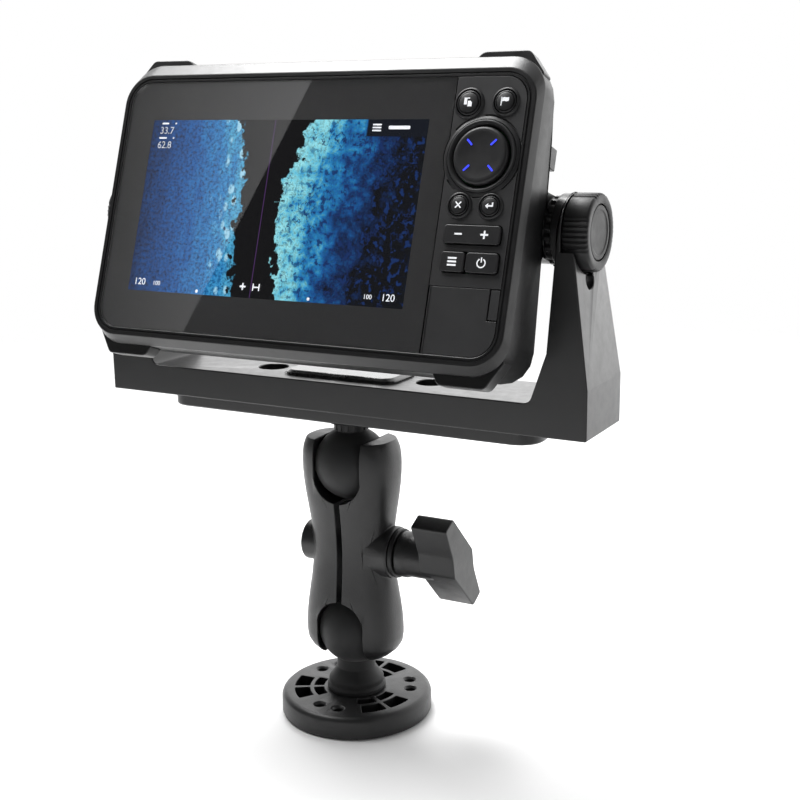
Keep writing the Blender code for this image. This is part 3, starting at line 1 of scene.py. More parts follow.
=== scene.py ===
"""Finished surfaces for a seven-inch fish finder in a gimbal bracket on a double-ball mount.

Pieces of the display head are modelled in the face's own frame: x runs right, y runs back from the
glass and z runs up the face, from the middle of the front surface.
"""

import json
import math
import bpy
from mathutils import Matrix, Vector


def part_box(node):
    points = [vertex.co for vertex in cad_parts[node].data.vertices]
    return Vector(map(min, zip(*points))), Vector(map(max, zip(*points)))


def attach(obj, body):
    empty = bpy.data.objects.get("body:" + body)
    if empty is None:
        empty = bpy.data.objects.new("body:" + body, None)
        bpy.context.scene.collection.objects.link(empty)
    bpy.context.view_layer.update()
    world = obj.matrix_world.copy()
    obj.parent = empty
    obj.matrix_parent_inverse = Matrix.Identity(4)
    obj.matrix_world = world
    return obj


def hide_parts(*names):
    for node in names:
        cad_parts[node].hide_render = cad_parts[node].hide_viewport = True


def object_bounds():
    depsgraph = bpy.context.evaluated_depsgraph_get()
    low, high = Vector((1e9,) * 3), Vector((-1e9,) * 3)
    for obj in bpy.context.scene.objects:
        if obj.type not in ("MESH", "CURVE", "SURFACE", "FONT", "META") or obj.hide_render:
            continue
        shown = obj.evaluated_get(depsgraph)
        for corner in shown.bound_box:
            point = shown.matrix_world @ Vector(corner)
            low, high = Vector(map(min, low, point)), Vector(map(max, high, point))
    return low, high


bl_info = {
    "name": "Fish Finder",
    "version": (1, 0, 0),
    "blender": (4, 5, 0),
    "location": "3D View > Sidebar > Fish Finder",
    "description": "Finished surfaces, keys and picture of a fish finder on a ball mount",
    "category": "Add Mesh",
}

import bmesh
import bpy
from bpy.props import FloatProperty, FloatVectorProperty, IntProperty, PointerProperty
from mathutils import Matrix, Vector

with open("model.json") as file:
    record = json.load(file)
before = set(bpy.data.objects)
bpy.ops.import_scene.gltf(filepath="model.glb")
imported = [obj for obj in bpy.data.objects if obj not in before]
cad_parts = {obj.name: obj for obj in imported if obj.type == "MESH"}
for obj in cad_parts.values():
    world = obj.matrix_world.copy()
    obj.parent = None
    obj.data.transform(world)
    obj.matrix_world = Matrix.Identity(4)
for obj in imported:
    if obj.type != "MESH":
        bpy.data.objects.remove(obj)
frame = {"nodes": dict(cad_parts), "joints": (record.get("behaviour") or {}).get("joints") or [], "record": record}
CAD_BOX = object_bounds()
RECORD = frame["record"]
BODY_OF = {node: body for body, nodes in RECORD["behaviour"]["bodies"].items() for node in nodes}
JOINTS = {joint["name"]: joint for joint in frame["joints"]}
MM = 0.001
GAP = 0.0003
WELD = 4e-6


# ---- places taken from the frame
def face_frame():
    """The matrix of the face's own frame, from the tilt axis and the front of the glass."""
    back = Vector(JOINTS["pages_press"]["axis"]).normalized()
    across = Vector((1, 0, 0))
    up = across.cross(back)
    pivot = Vector(JOINTS["head_tilt"]["pos_m"])
    turn = Matrix((across, back, up)).transposed().to_4x4()
    low, high = local_box("front_glass", Matrix.Translation(pivot) @ turn)
    origin = pivot + back * low.y + up * (low.z + high.z) / 2
    return Matrix.Translation(origin) @ turn


def local_box(node, matrix):
    """The corners of a CAD node's box in another frame."""
    obj = frame["nodes"][node]
    inverse = matrix.inverted() @ obj.matrix_world
    points = [inverse @ vert.co for vert in obj.data.vertices]
    low = Vector([min(point[i] for point in points) for i in range(3)])
    high = Vector([max(point[i] for point in points) for i in range(3)])
    return low, high


FACE = face_frame()


def face_box(node):
    return local_box(node, FACE)


def middle(node, matrix=None):
    low, high = local_box(node, matrix or Matrix())
    return (low + high) / 2


# ---- outlines
def arc(centre, radius, start, end, steps):
    """Points along an arc, with the angles in degrees."""
    angles = [math.radians(start + (end - start) * i / steps) for i in range(steps + 1)]
    return [(centre[0] + radius * math.cos(a), centre[1] + radius * math.sin(a)) for a in angles]


def circle(centre, radius, steps=64):
    return arc(centre, radius, 0, 360, steps)[:-1]


def sector(centre, inner, outer, start, end, steps=24):
    """A ring segment with rounded ends."""
    half = (outer - inner) / 2
    mid = (outer + inner) / 2
    tips = [(centre[0] + mid * math.cos(math.radians(a)), centre[1] + mid * math.sin(math.radians(a)))
            for a in (start, end)]
    return (arc(centre, outer, start, end, steps)
            + arc(tips[1], half, end, end + 180, 6)[1:-1]
            + arc(centre, inner, end, start, steps)
            + arc(tips[0], half, start + 180, start + 360, 6)[1:-1])


def rounded(left, right, bottom, top, radii, steps=8):
    """A rectangle, anticlockwise from its bottom right corner, with a radius for each corner."""
    corners = ((right, bottom, -1, 1, -90), (right, top, -1, -1, 0),
               (left, top, 1, -1, 90), (left, bottom, 1, 1, 180))
    points = []
    for (x, y, inward_x, inward_y, start), radius in zip(corners, radii):
        if radius <= 0:
            points.append((x, y))
        else:
            points += arc((x + inward_x * radius, y + inward_y * radius), radius,
                          start, start + 90, steps)
    return points


def bar(x, y, width, height, radius, steps=6):
    return rounded(x - width / 2, x + width / 2, y - height / 2, y + height / 2, (radius,) * 4, steps)


def filleted(points, radius, steps=5):
    """A closed outline with its corners rounded off."""
    out = []
    for before, here, after in zip(points[-1:] + points[:-1], points, points[1:] + points[:1]):
        p, a, b = Vector(here), Vector(before), Vector(after)
        reach = min(radius, (a - p).length / 2, (b - p).length / 2)
        start = p + (a - p).normalized() * reach
        end = p + (b - p).normalized() * reach
        for i in range(steps + 1):
            t = i / steps
            q = start * (1 - t) ** 2 + p * 2 * t * (1 - t) + end * t ** 2
            out.append((q.x, q.y))
    return out


# ---- solids, as bmeshes
AXES = {"X": lambda a, b, t: (t, a, b), "Y": lambda a, b, t: (a, t, b), "Z": lambda a, b, t: (a, b, t)}


def face_outwards(bm):
    bmesh.ops.recalc_face_normals(bm, faces=bm.faces)
    if bm.calc_volume(signed=True) < 0:
        bmesh.ops.reverse_faces(bm, faces=bm.faces)
    return bm


def evaluated_mesh(obj):
    return bpy.data.meshes.new_from_object(obj.evaluated_get(bpy.context.evaluated_depsgraph_get()))


def filled_curve(curve):
    """A curve or text as a bmesh."""
    drawn = bpy.data.objects.new("outline", curve)
    bpy.context.scene.collection.objects.link(drawn)
    mesh = evaluated_mesh(drawn)
    bm = bmesh.new()
    bm.from_mesh(mesh)
    bpy.data.objects.remove(drawn, do_unlink=True)
    bpy.data.meshes.remove(mesh)
    return bm


def slab(outlines, near, far, axis="Y"):
    """A flat outline with its holes, between two levels along an axis."""
    curve = bpy.data.curves.new("outline", "CURVE")
    curve.dimensions = "2D"
    curve.fill_mode = "BOTH"
    curve.extrude = (far - near) / 2
    for outline in outlines:
        spline = curve.splines.new("POLY")
        spline.points.add(len(outline) - 1)
        for point, (x, y) in zip(spline.points, outline):
            point.co = (x, y, 0, 1)
        spline.use_cyclic_u = True
    bm = filled_curve(curve)
    bmesh.ops.remove_doubles(bm, verts=bm.verts, dist=2e-6)
    bmesh.ops.dissolve_limit(bm, angle_limit=math.radians(0.5), verts=bm.verts, edges=bm.edges)
    for vert in bm.verts:
        a, b, t = vert.co
        vert.co = AXES[axis](a, b, t + (near + far) / 2)
    return face_outwards(bm)


def turned(profile, axis="Z", steps=64, closed=False, centre=(0, 0)):
    """A profile of (radius, level) points, turned about a line along the axis."""
    bm = bmesh.new()
    rows = []
    for radius, level in profile:
        if radius < 1e-7:
            rows.append([bm.verts.new(AXES[axis](centre[0], centre[1], level))])
        else:
            ring = circle(centre, radius, steps)
            rows.append([bm.verts.new(AXES[axis](a, b, level)) for a, b in ring])
    pairs = list(zip(rows, rows[1:])) + ([(rows[-1], rows[0])] if closed else [])
    for here, there in pairs:
        for i in range(steps):
            j = (i + 1) % steps
            corners = (here[i % len(here)], here[j % len(here)], there[j % len(there)],
                there[i % len(there)])
            unique = list(dict.fromkeys(corners))
            if len(unique) > 2:
                bm.faces.new(unique)
    return face_outwards(bm)


def rod(radius, low, high, axis, steps, centre):
    """A plain round or many-sided rod, mostly for carving."""
    return turned([(0, low), (radius, low), (radius, high), (0, high)], axis, steps, centre=centre)


def loft(rings, closed=False):
    """A body through rings of equally many points: capped, or closed on itself."""
    bm = bmesh.new()
    rows = [[bm.verts.new(point) for point in ring] for ring in rings]
    pairs = list(zip(rows, rows[1:])) + ([(rows[-1], rows[0])] if closed else [])
    for here, there in pairs:
        for i in range(len(here)):
            j = (i + 1) % len(here)
            bm.faces.new((here[i], here[j], there[j], there[i]))
    if not closed:
        bm.faces.new(rows[0])
        bm.faces.new(rows[-1])
    return face_outwards(bm)


def tube(points, radius, sides=8):
    """A round bead along an open line."""
    rings = []
    for i, point in enumerate(points):
        here = Vector(point)
        ahead = Vector(points[min(i + 1, len(points) - 1)]) - Vector(points[max(i - 1, 0)])
        side = ahead.cross(Vector((0, 0, 1)))
        if side.length < 1e-9:
            side = Vector((1, 0, 0))
        side.normalize()
        other = ahead.normalized().cross(side)
        rings.append([here + (side * math.cos(t) + other * math.sin(t)) * radius
                      for t in (2 * math.pi * k / sides for k in range(sides))])
    return loft(rings)


def gathered(*parts):
    """Several bmeshes in one."""
    whole = bmesh.new()
    for part in parts:
        mesh = bpy.data.meshes.new("part")
        part.to_mesh(mesh)
        part.free()
        whole.from_mesh(mesh)
        bpy.data.meshes.remove(mesh)
    return whole


def moved(bm, matrix):
    bmesh.ops.transform(bm, matrix=matrix, verts=bm.verts)
    return bm


def carved(bm, *tools, operation="DIFFERENCE"):
    """The bmesh after each tool is taken from it, or joined to it."""
    target = linked("carved", bm)
    for tool in tools:
        cutter = linked("tool", tool)
        boolean = target.modifiers.new("carve", "BOOLEAN")
        boolean.operation = operation
        boolean.solver = "EXACT"
        boolean.object = cutter
        mesh = evaluated_mesh(target)
        target.modifiers.clear()
        target.data = mesh
        bpy.data.objects.remove(cutter, do_unlink=True)
    out = bmesh.new()
    out.from_mesh(target.data)
    bpy.data.objects.remove(target, do_unlink=True)
    bmesh.ops.remove_doubles(out, verts=out.verts, dist=WELD)
    return out


def linked(name, bm, matrix=None):
    mesh = bpy.data.meshes.new(name)
    bm.to_mesh(mesh)
    bm.free()
    obj = bpy.data.objects.new(name, mesh)
    bpy.context.scene.collection.objects.link(obj)
    if matrix is not None:
        obj.matrix_world = matrix
    return obj


# ---- pieces on the frame
def piece(name, bm, node, finish, on_face=False, edge=0.0, segments=2, sharp=32, stands_for=True):
    """A finished piece. It rides as the CAD node does, and may stand for it."""
    obj = linked(name, bm, FACE if on_face else None)
    obj.data.materials.append(finish_of(finish))
    obj.data.shade_smooth()
    obj.data.set_sharp_from_angle(angle=math.radians(sharp))
    if edge:
        bevel = obj.modifiers.new("edges", "BEVEL")
        bevel.width = edge
        bevel.segments = segments
        bevel.limit_method = "ANGLE"
        bevel.angle_limit = math.radians(sharp)
        bevel.use_clamp_overlap = False
        bevel.harden_normals = True
    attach(obj, BODY_OF[node])
    if stands_for:
        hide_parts(node)
    return obj


def trim(name, bm, node, finish, **options):
    """A finished detail that is added to a piece, such as the mark on a key."""
    return piece(name, bm, node, finish, stands_for=False, **options)


def node_mesh(node, matrix=None):
    """A CAD node's shape as a clean bmesh, in another frame if one is given."""
    bm = bmesh.new()
    bm.from_mesh(frame["nodes"][node].data)
    bmesh.ops.transform(bm, matrix=(matrix or Matrix()).inverted() @ frame["nodes"][node].matrix_world,
                        verts=bm.verts)
    bmesh.ops.remove_doubles(bm, verts=bm.verts, dist=WELD)
    bmesh.ops.dissolve_limit(bm, angle_limit=math.radians(1.0), verts=bm.verts, edges=bm.edges)
    return bm


def refined(node, finish, edge=0.0004, segments=2, sharp=32, on_face=False):
    """The CAD shape itself, with its edges rounded."""
    bm = node_mesh(node, FACE if on_face else None)
    return piece(f"{node}_finished", bm, node, finish, on_face, edge, segments, sharp)


def keep(finish, *nodes):
    """CAD nodes that stay as they are, with a better material."""
    for node in nodes:
        for place in frame["nodes"][node].material_slots:
            place.material = finish_of(finish)


# ---- materials
class Wiring:
    """The shader nodes of one material, added and linked in short calls."""

    def __init__(self, name, tree=None, **values):
        if tree is None:
            self.material = bpy.data.materials.new(name)
            self.material.use_nodes = True
            tree = self.material.node_tree
        self.tree = tree
        self.shader = tree.nodes.get("Principled BSDF")
        for label, value in values.items():
            self.set(label.replace("_", " "), value)

    def set(self, label, value):
        self.feed(self.shader.inputs[label], value)

    def feed(self, socket, value):
        if isinstance(value, bpy.types.NodeSocket):
            self.tree.links.new(value, socket)
        else:
            socket.default_value = value

    def add(self, kind, values=None, **settings):
        made = self.tree.nodes.new("ShaderNode" + kind)
        for label, value in settings.items():
            setattr(made, label, value)
        for label, value in (values or {}).items():
            self.feed(made.inputs[label], value)
        return made

    def maths(self, operation, first, second=0.0, third=0.0):
        return self.add("Math", {0: first, 1: second, 2: third}, operation=operation).outputs[0]

    def swing(self, value, amount, about=0.5):
        """How far a value stands from its middle, times an amount."""
        return self.maths("MULTIPLY", self.maths("SUBTRACT", value, about), amount)

    def parts(self, kind):
        """The three numbers of one kind of texture coordinate."""
        return self.add("SeparateXYZ", {0: self.add("TexCoord").outputs[kind]}).outputs

    def position(self, stretch=(1, 1, 1)):
        where = self.add("TexCoord").outputs["Object"]
        return self.add("Mapping", {"Vector": where, "Scale": stretch}).outputs[0]

    def noise(self, scale, detail=3.0, roughness=0.55, at=None):
        return self.add("TexNoise", {"Vector": at or self.position(), "Scale": scale, "Detail": detail,
                                     "Roughness": roughness}).outputs["Fac"]

    def cells(self, scale, feature="F1", at=None):
        return self.add("TexVoronoi", {"Vector": at or self.position(), "Scale": scale},
                        feature=feature).outputs["Distance"]

    def span(self, value, low, high, start=0.0, end=1.0, smooth=False):
        """A value's range from low to high, turned into start to end."""
        kind = "SMOOTHSTEP" if smooth else "LINEAR"
        return self.add("MapRange", {"Value": value, "From Min": low, "From Max": high, "To Min": start,
                                     "To Max": end}, interpolation_type=kind).outputs["Result"]

    def mixed(self, share, first, second, blend="MIX"):
        made = self.add("Mix", {0: share, 6: first, 7: second}, data_type="RGBA", blend_type=blend)
        return made.outputs[2]

    def ramp(self, value, *stops):
        made = self.add("ValToRGB", {"Fac": value})
        line = made.color_ramp.elements
        while len(line) < len(stops):
            line.new(0.5)
        for element, (place, colour) in zip(line, stops):
            element.position = place
            element.color = (*colour, 1)
        return made.outputs["Color"]

    def bump(self, height, distance, strength):
        values = {"Height": height, "Distance": distance, "Strength": strength}
        self.set("Normal", self.add("Bump", values).outputs["Normal"])


def shade(colour, factor):
    return (*[min(1.0, c * factor) for c in colour], 1)


def moulded(name, colour, roughness, grain=2600.0, depth=0.00003, specular=0.4, coat=0.0):
    """Moulded plastic with a spark-eroded grain, handling marks and a slow drift of tone."""
    w = Wiring(name, Specular_IOR_Level=specular, Coat_Weight=coat, Coat_Roughness=0.25)
    tone = w.noise(38.0, 4.0)
    base = w.mixed(w.span(tone, 0.3, 0.7), shade(colour, 0.86), shade(colour, 1.14))
    fleck = w.noise(1500.0, 2.0)
    base = w.mixed(w.span(fleck, 0.62, 0.80, 0.0, 0.35), base, shade(colour, 1.8))
    w.set("Base Color", base)
    rub = w.noise(160.0, 5.0, 0.65)
    w.set("Roughness", w.span(rub, 0.25, 0.75, roughness - 0.06, roughness + 0.07))
    pebble = w.maths("MULTIPLY_ADD", w.cells(grain), 0.6, w.noise(grain * 0.7, 3.0))
    w.bump(pebble, depth, 0.5)
    return w.material


def polished(name, colour, roughness, stretch=(1, 1, 1), brush=900.0, depth=0.000006):
    """Metal with drawn or turned marks and small stains."""
    w = Wiring(name, Metallic=1.0)
    marks = w.noise(brush, 6.0, 0.7, w.position(stretch))
    stain = w.noise(90.0, 4.0)
    w.set("Base Color", w.mixed(w.span(stain, 0.45, 0.75), (*colour, 1), shade(colour, 0.72)))
    w.set("Roughness", w.span(marks, 0.3, 0.7, roughness - 0.07, roughness + 0.12))
    w.bump(marks, depth, 0.5)
    return w.material


def rubbery(name, colour, roughness=0.62):
    w = Wiring(name, Specular_IOR_Level=0.35, Sheen_Weight=0.12, Sheen_Roughness=0.5)
    dust = w.noise(420.0, 5.0, 0.7)
    w.set("Base Color", w.mixed(w.span(dust, 0.4, 0.7), shade(colour, 0.9), shade(colour, 1.35)))
    w.set("Roughness", w.span(dust, 0.3, 0.7, roughness - 0.08, roughness + 0.08))
    w.bump(w.noise(3800.0, 2.0), 0.00002, 0.4)
    return w.material


def printed_white(name, glow=0.0):
    """The white marks on the keys, very slightly worn."""
    w = Wiring(name, Roughness=0.5, Emission_Strength=glow, Emission_Color=(0.9, 0.93, 1.0, 1))
    worn = w.noise(2600.0, 4.0)
    colour = w.mixed(w.span(worn, 0.55, 0.8), (0.86, 0.87, 0.88, 1), (0.6, 0.61, 0.62, 1))
    w.set("Base Color", colour)
    w.bump(worn, 0.000008, 0.4)
    return w.material


def light_guide(name, colour):
    w = Wiring(name, Base_Color=shade(colour, 0.6), Roughness=0.25, Emission_Color=shade(colour, 1.0))
    glow = w.noise(1600.0, 2.0)
    w.set("Emission Strength", w.span(glow, 0.3, 0.7, 0.85, 1.25))
    return w.material


def cover_glass(name):
    """Clear glass with the faintest of wipe marks."""
    w = Wiring(name, Base_Color=(1, 1, 1, 1), IOR=1.5, Transmission_Weight=1.0)
    wipe = w.noise(30.0, 5.0, 0.6, w.position((1, 1, 0.35)))
    w.set("Roughness", w.span(wipe, 0.5, 0.85, 0.0, 0.02))
    return w.material


def black_mask_painted_glow(name):
    """The black print behind the glass, with a faint painted glow in its emission that stands in for light
    reaching it through the glass.
    """
    w = Wiring(name, Roughness=0.5, Emission_Strength=1.0)
    speck = w.noise(2400.0, 2.0)
    w.set("Base Color", w.mixed(speck, (0.012, 0.012, 0.013, 1), (0.022, 0.022, 0.023, 1)))
    # painted light: the emission gives the black print a faint glow, as if it were lit through the glass
    w.set("Emission Color", w.mixed(speck, (0.0045, 0.0045, 0.0047, 1), (0.0065, 0.0065, 0.0068, 1)))
    return w.material


def circuit_board(name):
    w = Wiring(name, Specular_IOR_Level=0.5)
    lanes = w.add("TexBrick", {"Vector": w.position((1, 1, 1)), "Scale": 180.0, "Mortar Size": 0.06,
                               "Color1": (0.012, 0.10, 0.035, 1), "Color2": (0.016, 0.13, 0.045, 1),
                               "Mortar": (0.05, 0.23, 0.09, 1)})
    pads = w.span(w.cells(420.0), 0.10, 0.16, 1.0, 0.0)
    w.set("Base Color", w.mixed(pads, lanes.outputs["Color"], (0.6, 0.45, 0.2, 1)))
    w.set("Roughness", w.span(pads, 0, 1, 0.5, 0.3))
    w.bump(lanes.outputs["Fac"], 0.00002, 0.5)
    return w.material


def sonar_picture(width, height, brightness):
    """Two banks of echoes with dark water between them, painted by noise and ramps."""
    w = Wiring("sonar_picture", Base_Color=(0, 0, 0, 1), Roughness=0.6, Emission_Strength=brightness,
               Specular_IOR_Level=0.0)
    place = w.parts("Object")
    u = w.maths("MULTIPLY_ADD", place[0], 1 / width, 0.5)
    v = w.maths("MULTIPLY_ADD", place[2], 1 / height, 0.5)
    coarse = w.noise(70.0, 4.0, 0.6)
    streaks = w.noise(60.0, 6.0, 0.65, w.position((3.2, 1, 0.8)))
    fine = w.noise(620.0, 4.0, 0.7)
    shards = w.cells(210.0, at=w.add("Mapping", {"Vector": w.position(), "Rotation": (0, 0.5, 0),
                                                 "Scale": (1, 1, 0.55)}).outputs[0])
    ragged = w.noise(190.0, 5.0, 0.6)
    torn = w.maths("ADD", w.swing(coarse, 0.10), w.swing(shards, 0.040, 0.4))
    torn = w.maths("ADD", torn, w.swing(ragged, 0.09))

    # left bank: a blue wash that brightens towards its torn right edge
    edge = w.maths("ADD", w.ramp(v, (0.0, (0.39,) * 3), (0.55, (0.375,) * 3), (0.75, (0.385,) * 3),
                                 (1.0, (0.34,) * 3)), torn)
    inside = w.span(w.maths("SUBTRACT", edge, u), -0.003, 0.004, smooth=True)
    along = w.maths("DIVIDE", u, edge)
    along = w.maths("ADD", along, w.swing(streaks, 0.6))
    along = w.maths("ADD", along, w.swing(fine, 0.45))
    left = w.ramp(along, (0.0, (0.001, 0.022, 0.10)), (0.25, (0.003, 0.060, 0.24)),
                  (0.5, (0.005, 0.110, 0.38)), (0.8, (0.02, 0.23, 0.56)), (1.0, (0.08, 0.42, 0.68)))
    grainy = w.span(fine, 0.34, 0.62, 0.25, 1.3)
    left = w.mixed(1.0, left, w.ramp(grainy, (0.0, (0, 0, 0)), (1.0, (1, 1, 1))), "MULTIPLY")
    debris = w.maths("MULTIPLY", w.span(shards, 0.34, 0.22, smooth=True),
        w.span(w.maths("ADD", along, w.maths("MULTIPLY", coarse, 0.5)), 1.02, 1.22, smooth=True))
    left = w.mixed(debris, left, (0.36, 0.68, 0.86, 1))
    holes = w.maths("MULTIPLY", w.span(w.noise(330.0, 3.0), 0.60, 0.66, smooth=True),
        w.span(along, 0.8, 1.0))
    left = w.mixed(holes, left, (0.006, 0.02, 0.08, 1))

    # right bank: bright where the sound strikes first, broken by dark cracks, then fading out
    start = w.maths("SUBTRACT", w.ramp(v, (0.0, (0.555,) * 3), (0.3, (0.545,) * 3), (0.5, (0.52,) * 3),
                                       (0.8, (0.575,) * 3), (1.0, (0.61,) * 3)), torn)
    finish = w.maths("ADD", w.span(v, 0, 1, 0.80, 0.95), w.maths("MULTIPLY", torn, 2.4))
    across = w.maths("DIVIDE", w.maths("SUBTRACT", u, start), w.maths("SUBTRACT", finish, start))
    body = w.span(w.maths("SUBTRACT", u, start), -0.003, 0.004, smooth=True)
    wavy = w.maths("ADD", across, w.swing(w.noise(150.0, 5.0, 0.65), 1.2))
    wavy = w.maths("ADD", wavy, w.swing(fine, 0.9))
    right = w.ramp(wavy, (0.0, (0.34, 0.84, 0.92)), (0.20, (0.16, 0.62, 0.80)),
        (0.36, (0.02, 0.27, 0.60)), (0.58, (0.006, 0.09, 0.32)), (0.80, (0.003, 0.02, 0.09)),
        (1.0, (0.0, 0.001, 0.004)))
    right = w.mixed(1.0, right, w.ramp(grainy, (0.0, (0.12,) * 3), (1.0, (1, 1, 1))), "MULTIPLY")
    bumps = w.noise(130.0, 4.0, 0.6, w.position((1, 1, 0.7)))
    ridge = w.maths("ABSOLUTE", w.maths("SUBTRACT", bumps, 0.5))
    cracks = w.maths("MULTIPLY", w.span(ridge, 0.020, 0.006, smooth=True),
                     w.span(w.noise(80.0, 2.0), 0.48, 0.58, smooth=True))
    right = w.mixed(w.maths("MULTIPLY", cracks, 0.9), right, (0.004, 0.02, 0.10, 1))
    blots = w.maths("MULTIPLY", w.span(w.noise(300.0, 4.0), 0.56, 0.60, smooth=True),
        w.span(across, -0.3, 0.6))
    right = w.mixed(blots, right, (0.004, 0.025, 0.12, 1))
    sparks = w.maths("MULTIPLY", w.span(fine, 0.64, 0.72), w.span(wavy, 1.1, 0.5))
    right = w.mixed(sparks, right, (0.10, 0.42, 0.72, 1))

    colour = w.mixed(inside, (0.0, 0.0, 0.001, 1), left)
    colour = w.mixed(body, colour, right)
    line = w.span(w.maths("ABSOLUTE", w.maths("SUBTRACT", u, 0.470)), 0.0008, 0.0018, 0.75, 0.0)
    colour = w.mixed(line, colour, (0.10, 0.035, 0.17, 1))
    strip = w.maths("MULTIPLY", w.span(u, 0.795, 0.80), w.span(v, 0.905, 0.91))
    colour = w.mixed(strip, colour, (0.002, 0.004, 0.010, 1))
    w.set("Emission Color", colour)
    return w.material


# maker, material name, colour (of the sidebar, or red, green and blue), then the other values
FINISHES = {
    "mount": (moulded, "mount_plastic", "mount", 0.40, 1500.0, 0.00010, 0.5),
    "ball": (rubbery, "ball_rubber", "mount"),
    "bracket": (moulded, "bracket_plastic", "bracket", 0.33, 2600.0, 0.00002, 0.4, 0.25),
    "pad": (moulded, "pad_plastic", "bracket", 0.28, 3200.0, 0.00001, 0.5, 0.6),
    "casing": (moulded, "casing_plastic", "casing", 0.36, 2800.0, 0.00002, 0.4),
    "panel": (moulded, "panel_plastic", "panel", 0.46, 3000.0, 0.00002, 0.35),
    "key": (moulded, "key_rubber", "keys", 0.40, 3600.0, 0.000015, 0.4),
    "ring": (moulded, "ring_plastic", "keys", 0.42, 3600.0, 0.000005, 0.3),
    "grip": (moulded, "grip_plastic", "bracket", 0.47, 2300.0, 0.00004, 0.4),
    "socket": (moulded, "socket_plastic", "casing", 0.42, 2400.0, 0.00002),
    # painted shadow: a very dark finish for the bead round the foot of the bracket pad
    "groove": (moulded, "groove_shadow", (0.004, 0.004, 0.004), 0.7),
    "seal": (rubbery, "seal_rubber", (0.012, 0.012, 0.012), 0.8),
    "steel": (polished, "stainless_steel", (0.56, 0.56, 0.57), 0.26, (1, 12, 12)),
    "brass": (polished, "insert_brass", (0.70, 0.50, 0.22), 0.32),
    "cast": (polished, "cast_aluminium", (0.62, 0.62, 0.64), 0.48, (1, 1, 1), 500.0, 0.00003),
    "mark": (printed_white, "key_marks", 0.25),
    "digits": (printed_white, "screen_digits", 0.8),
    "faint": (printed_white, "screen_outlines", 0.30),
    "light": (light_guide, "light_guide", "lights"),
    "board": (circuit_board, "circuit_board"),
    # the mask finish glows faintly: painted light on the black print behind the glass and on the LCD panel
    "mask": (black_mask_painted_glow, "glass_mask"),
    "glass": (cover_glass, "cover_glass"),
}
MATERIALS = {}


def finish_of(name):
    """The named finish, made when it is first needed with the colours set in the sidebar."""
    if name not in MATERIALS:
        maker, *values = FINISHES[name]
        looks = bpy.context.scene.fish_finder_finish
        if len(values) > 1 and isinstance(values[1], str):
            values[1] = getattr(looks, values[1])
        MATERIALS[name] = maker(*values)
    return MATERIALS[name]


# ---- settings
def tint(name, description, default):
    return FloatVectorProperty(name=name, description=description, default=default, subtype="COLOR",
        min=0, max=1)


def length(name, description, default, precision=4):
    return FloatProperty(name=name, description=description, default=default, unit="LENGTH",
                         subtype="DISTANCE", precision=precision)


def angle(name, description, degrees):
    return FloatProperty(name=name, description=description, default=math.radians(degrees),
        subtype="ANGLE", unit="ROTATION")


def amount(name, description, default, low=0):
    return FloatProperty(name=name, description=description, default=default, min=low)


class FishFinderFinish(bpy.types.PropertyGroup):
    """Colours of the finishes."""

    mount: tint("Mount", "Plastic of the ball mount", (0.0095, 0.0095, 0.0100))
    bracket: tint("Bracket", "Plastic of the bracket and its knobs", (0.0065, 0.0065, 0.0070))
    casing: tint("Casing", "Plastic of the bezel and the rear housing", (0.0065, 0.0065, 0.0070))
    panel: tint("Key panel", "Plastic round the keys", (0.025, 0.025, 0.026))
    keys: tint("Keys", "Keys, cursor pad and cursor ring", (0.014, 0.014, 0.015))
    lights: tint("Key lights", "The four lights in the cursor pad", (0.05, 0.07, 1.0))
    picture: amount("Picture brightness", "How brightly the screen shines", 1.0)


class FishFinderSizes(bpy.types.PropertyGroup):
    """Sizes of the details that the frame leaves open."""

    arm_waist: length("Arm waist", "Width of the arm at its middle", 0.0430)
    arm_waist_depth: length("Arm waist depth", "Depth of the arm at its middle", 0.0292)
    slot_width: length("Slot width", "Width of the slots in the arm's ends", 0.0270)
    slot_depth: length("Slot depth", "Reach of a slot past its ball's centre", 0.0182)
    rib_depth: length("Knob ribs", "Depth of the ribs on the side knobs", 0.0006, 5)
    ribs: IntProperty(name="Ribs in a band", description="Ribs in each of a side knob's four bands",
                      default=7, min=2, max=15)
    bezel_rim: length("Bezel rim", "Width of the bezel's flat front", 0.0039)
    edge: length("Edge radius", "Rounding of the moulded edges", 0.0006, 5)
    screen_width: length("Screen width", "Width of the lit picture", 0.1542)
    screen_height: length("Screen height", "Height of the lit picture", 0.0859)


class FishFinderStudio(bpy.types.PropertyGroup):
    """Camera and lights."""

    azimuth: angle("Camera azimuth", "Turn of the camera to the object's left", 28.4)
    elevation: angle("Camera elevation", "Height of the camera above the horizon", 12.8)
    roll: angle("Camera roll", "Lean of the camera", -0.68)
    distance: length("Camera distance", "From the camera to the point it looks at", 0.653)
    lens: amount("Lens", "Focal length in millimetres", 59.1, 10)
    overhead: amount("Overhead light", "Power of the light above, in watts", 34.0)
    fill: amount("Fill light", "Power of the lights in front, in watts", 0.9)
    world: amount("Surroundings", "Strength of the pale surroundings", 0.12)


def sizes():
    return bpy.context.scene.fish_finder_sizes


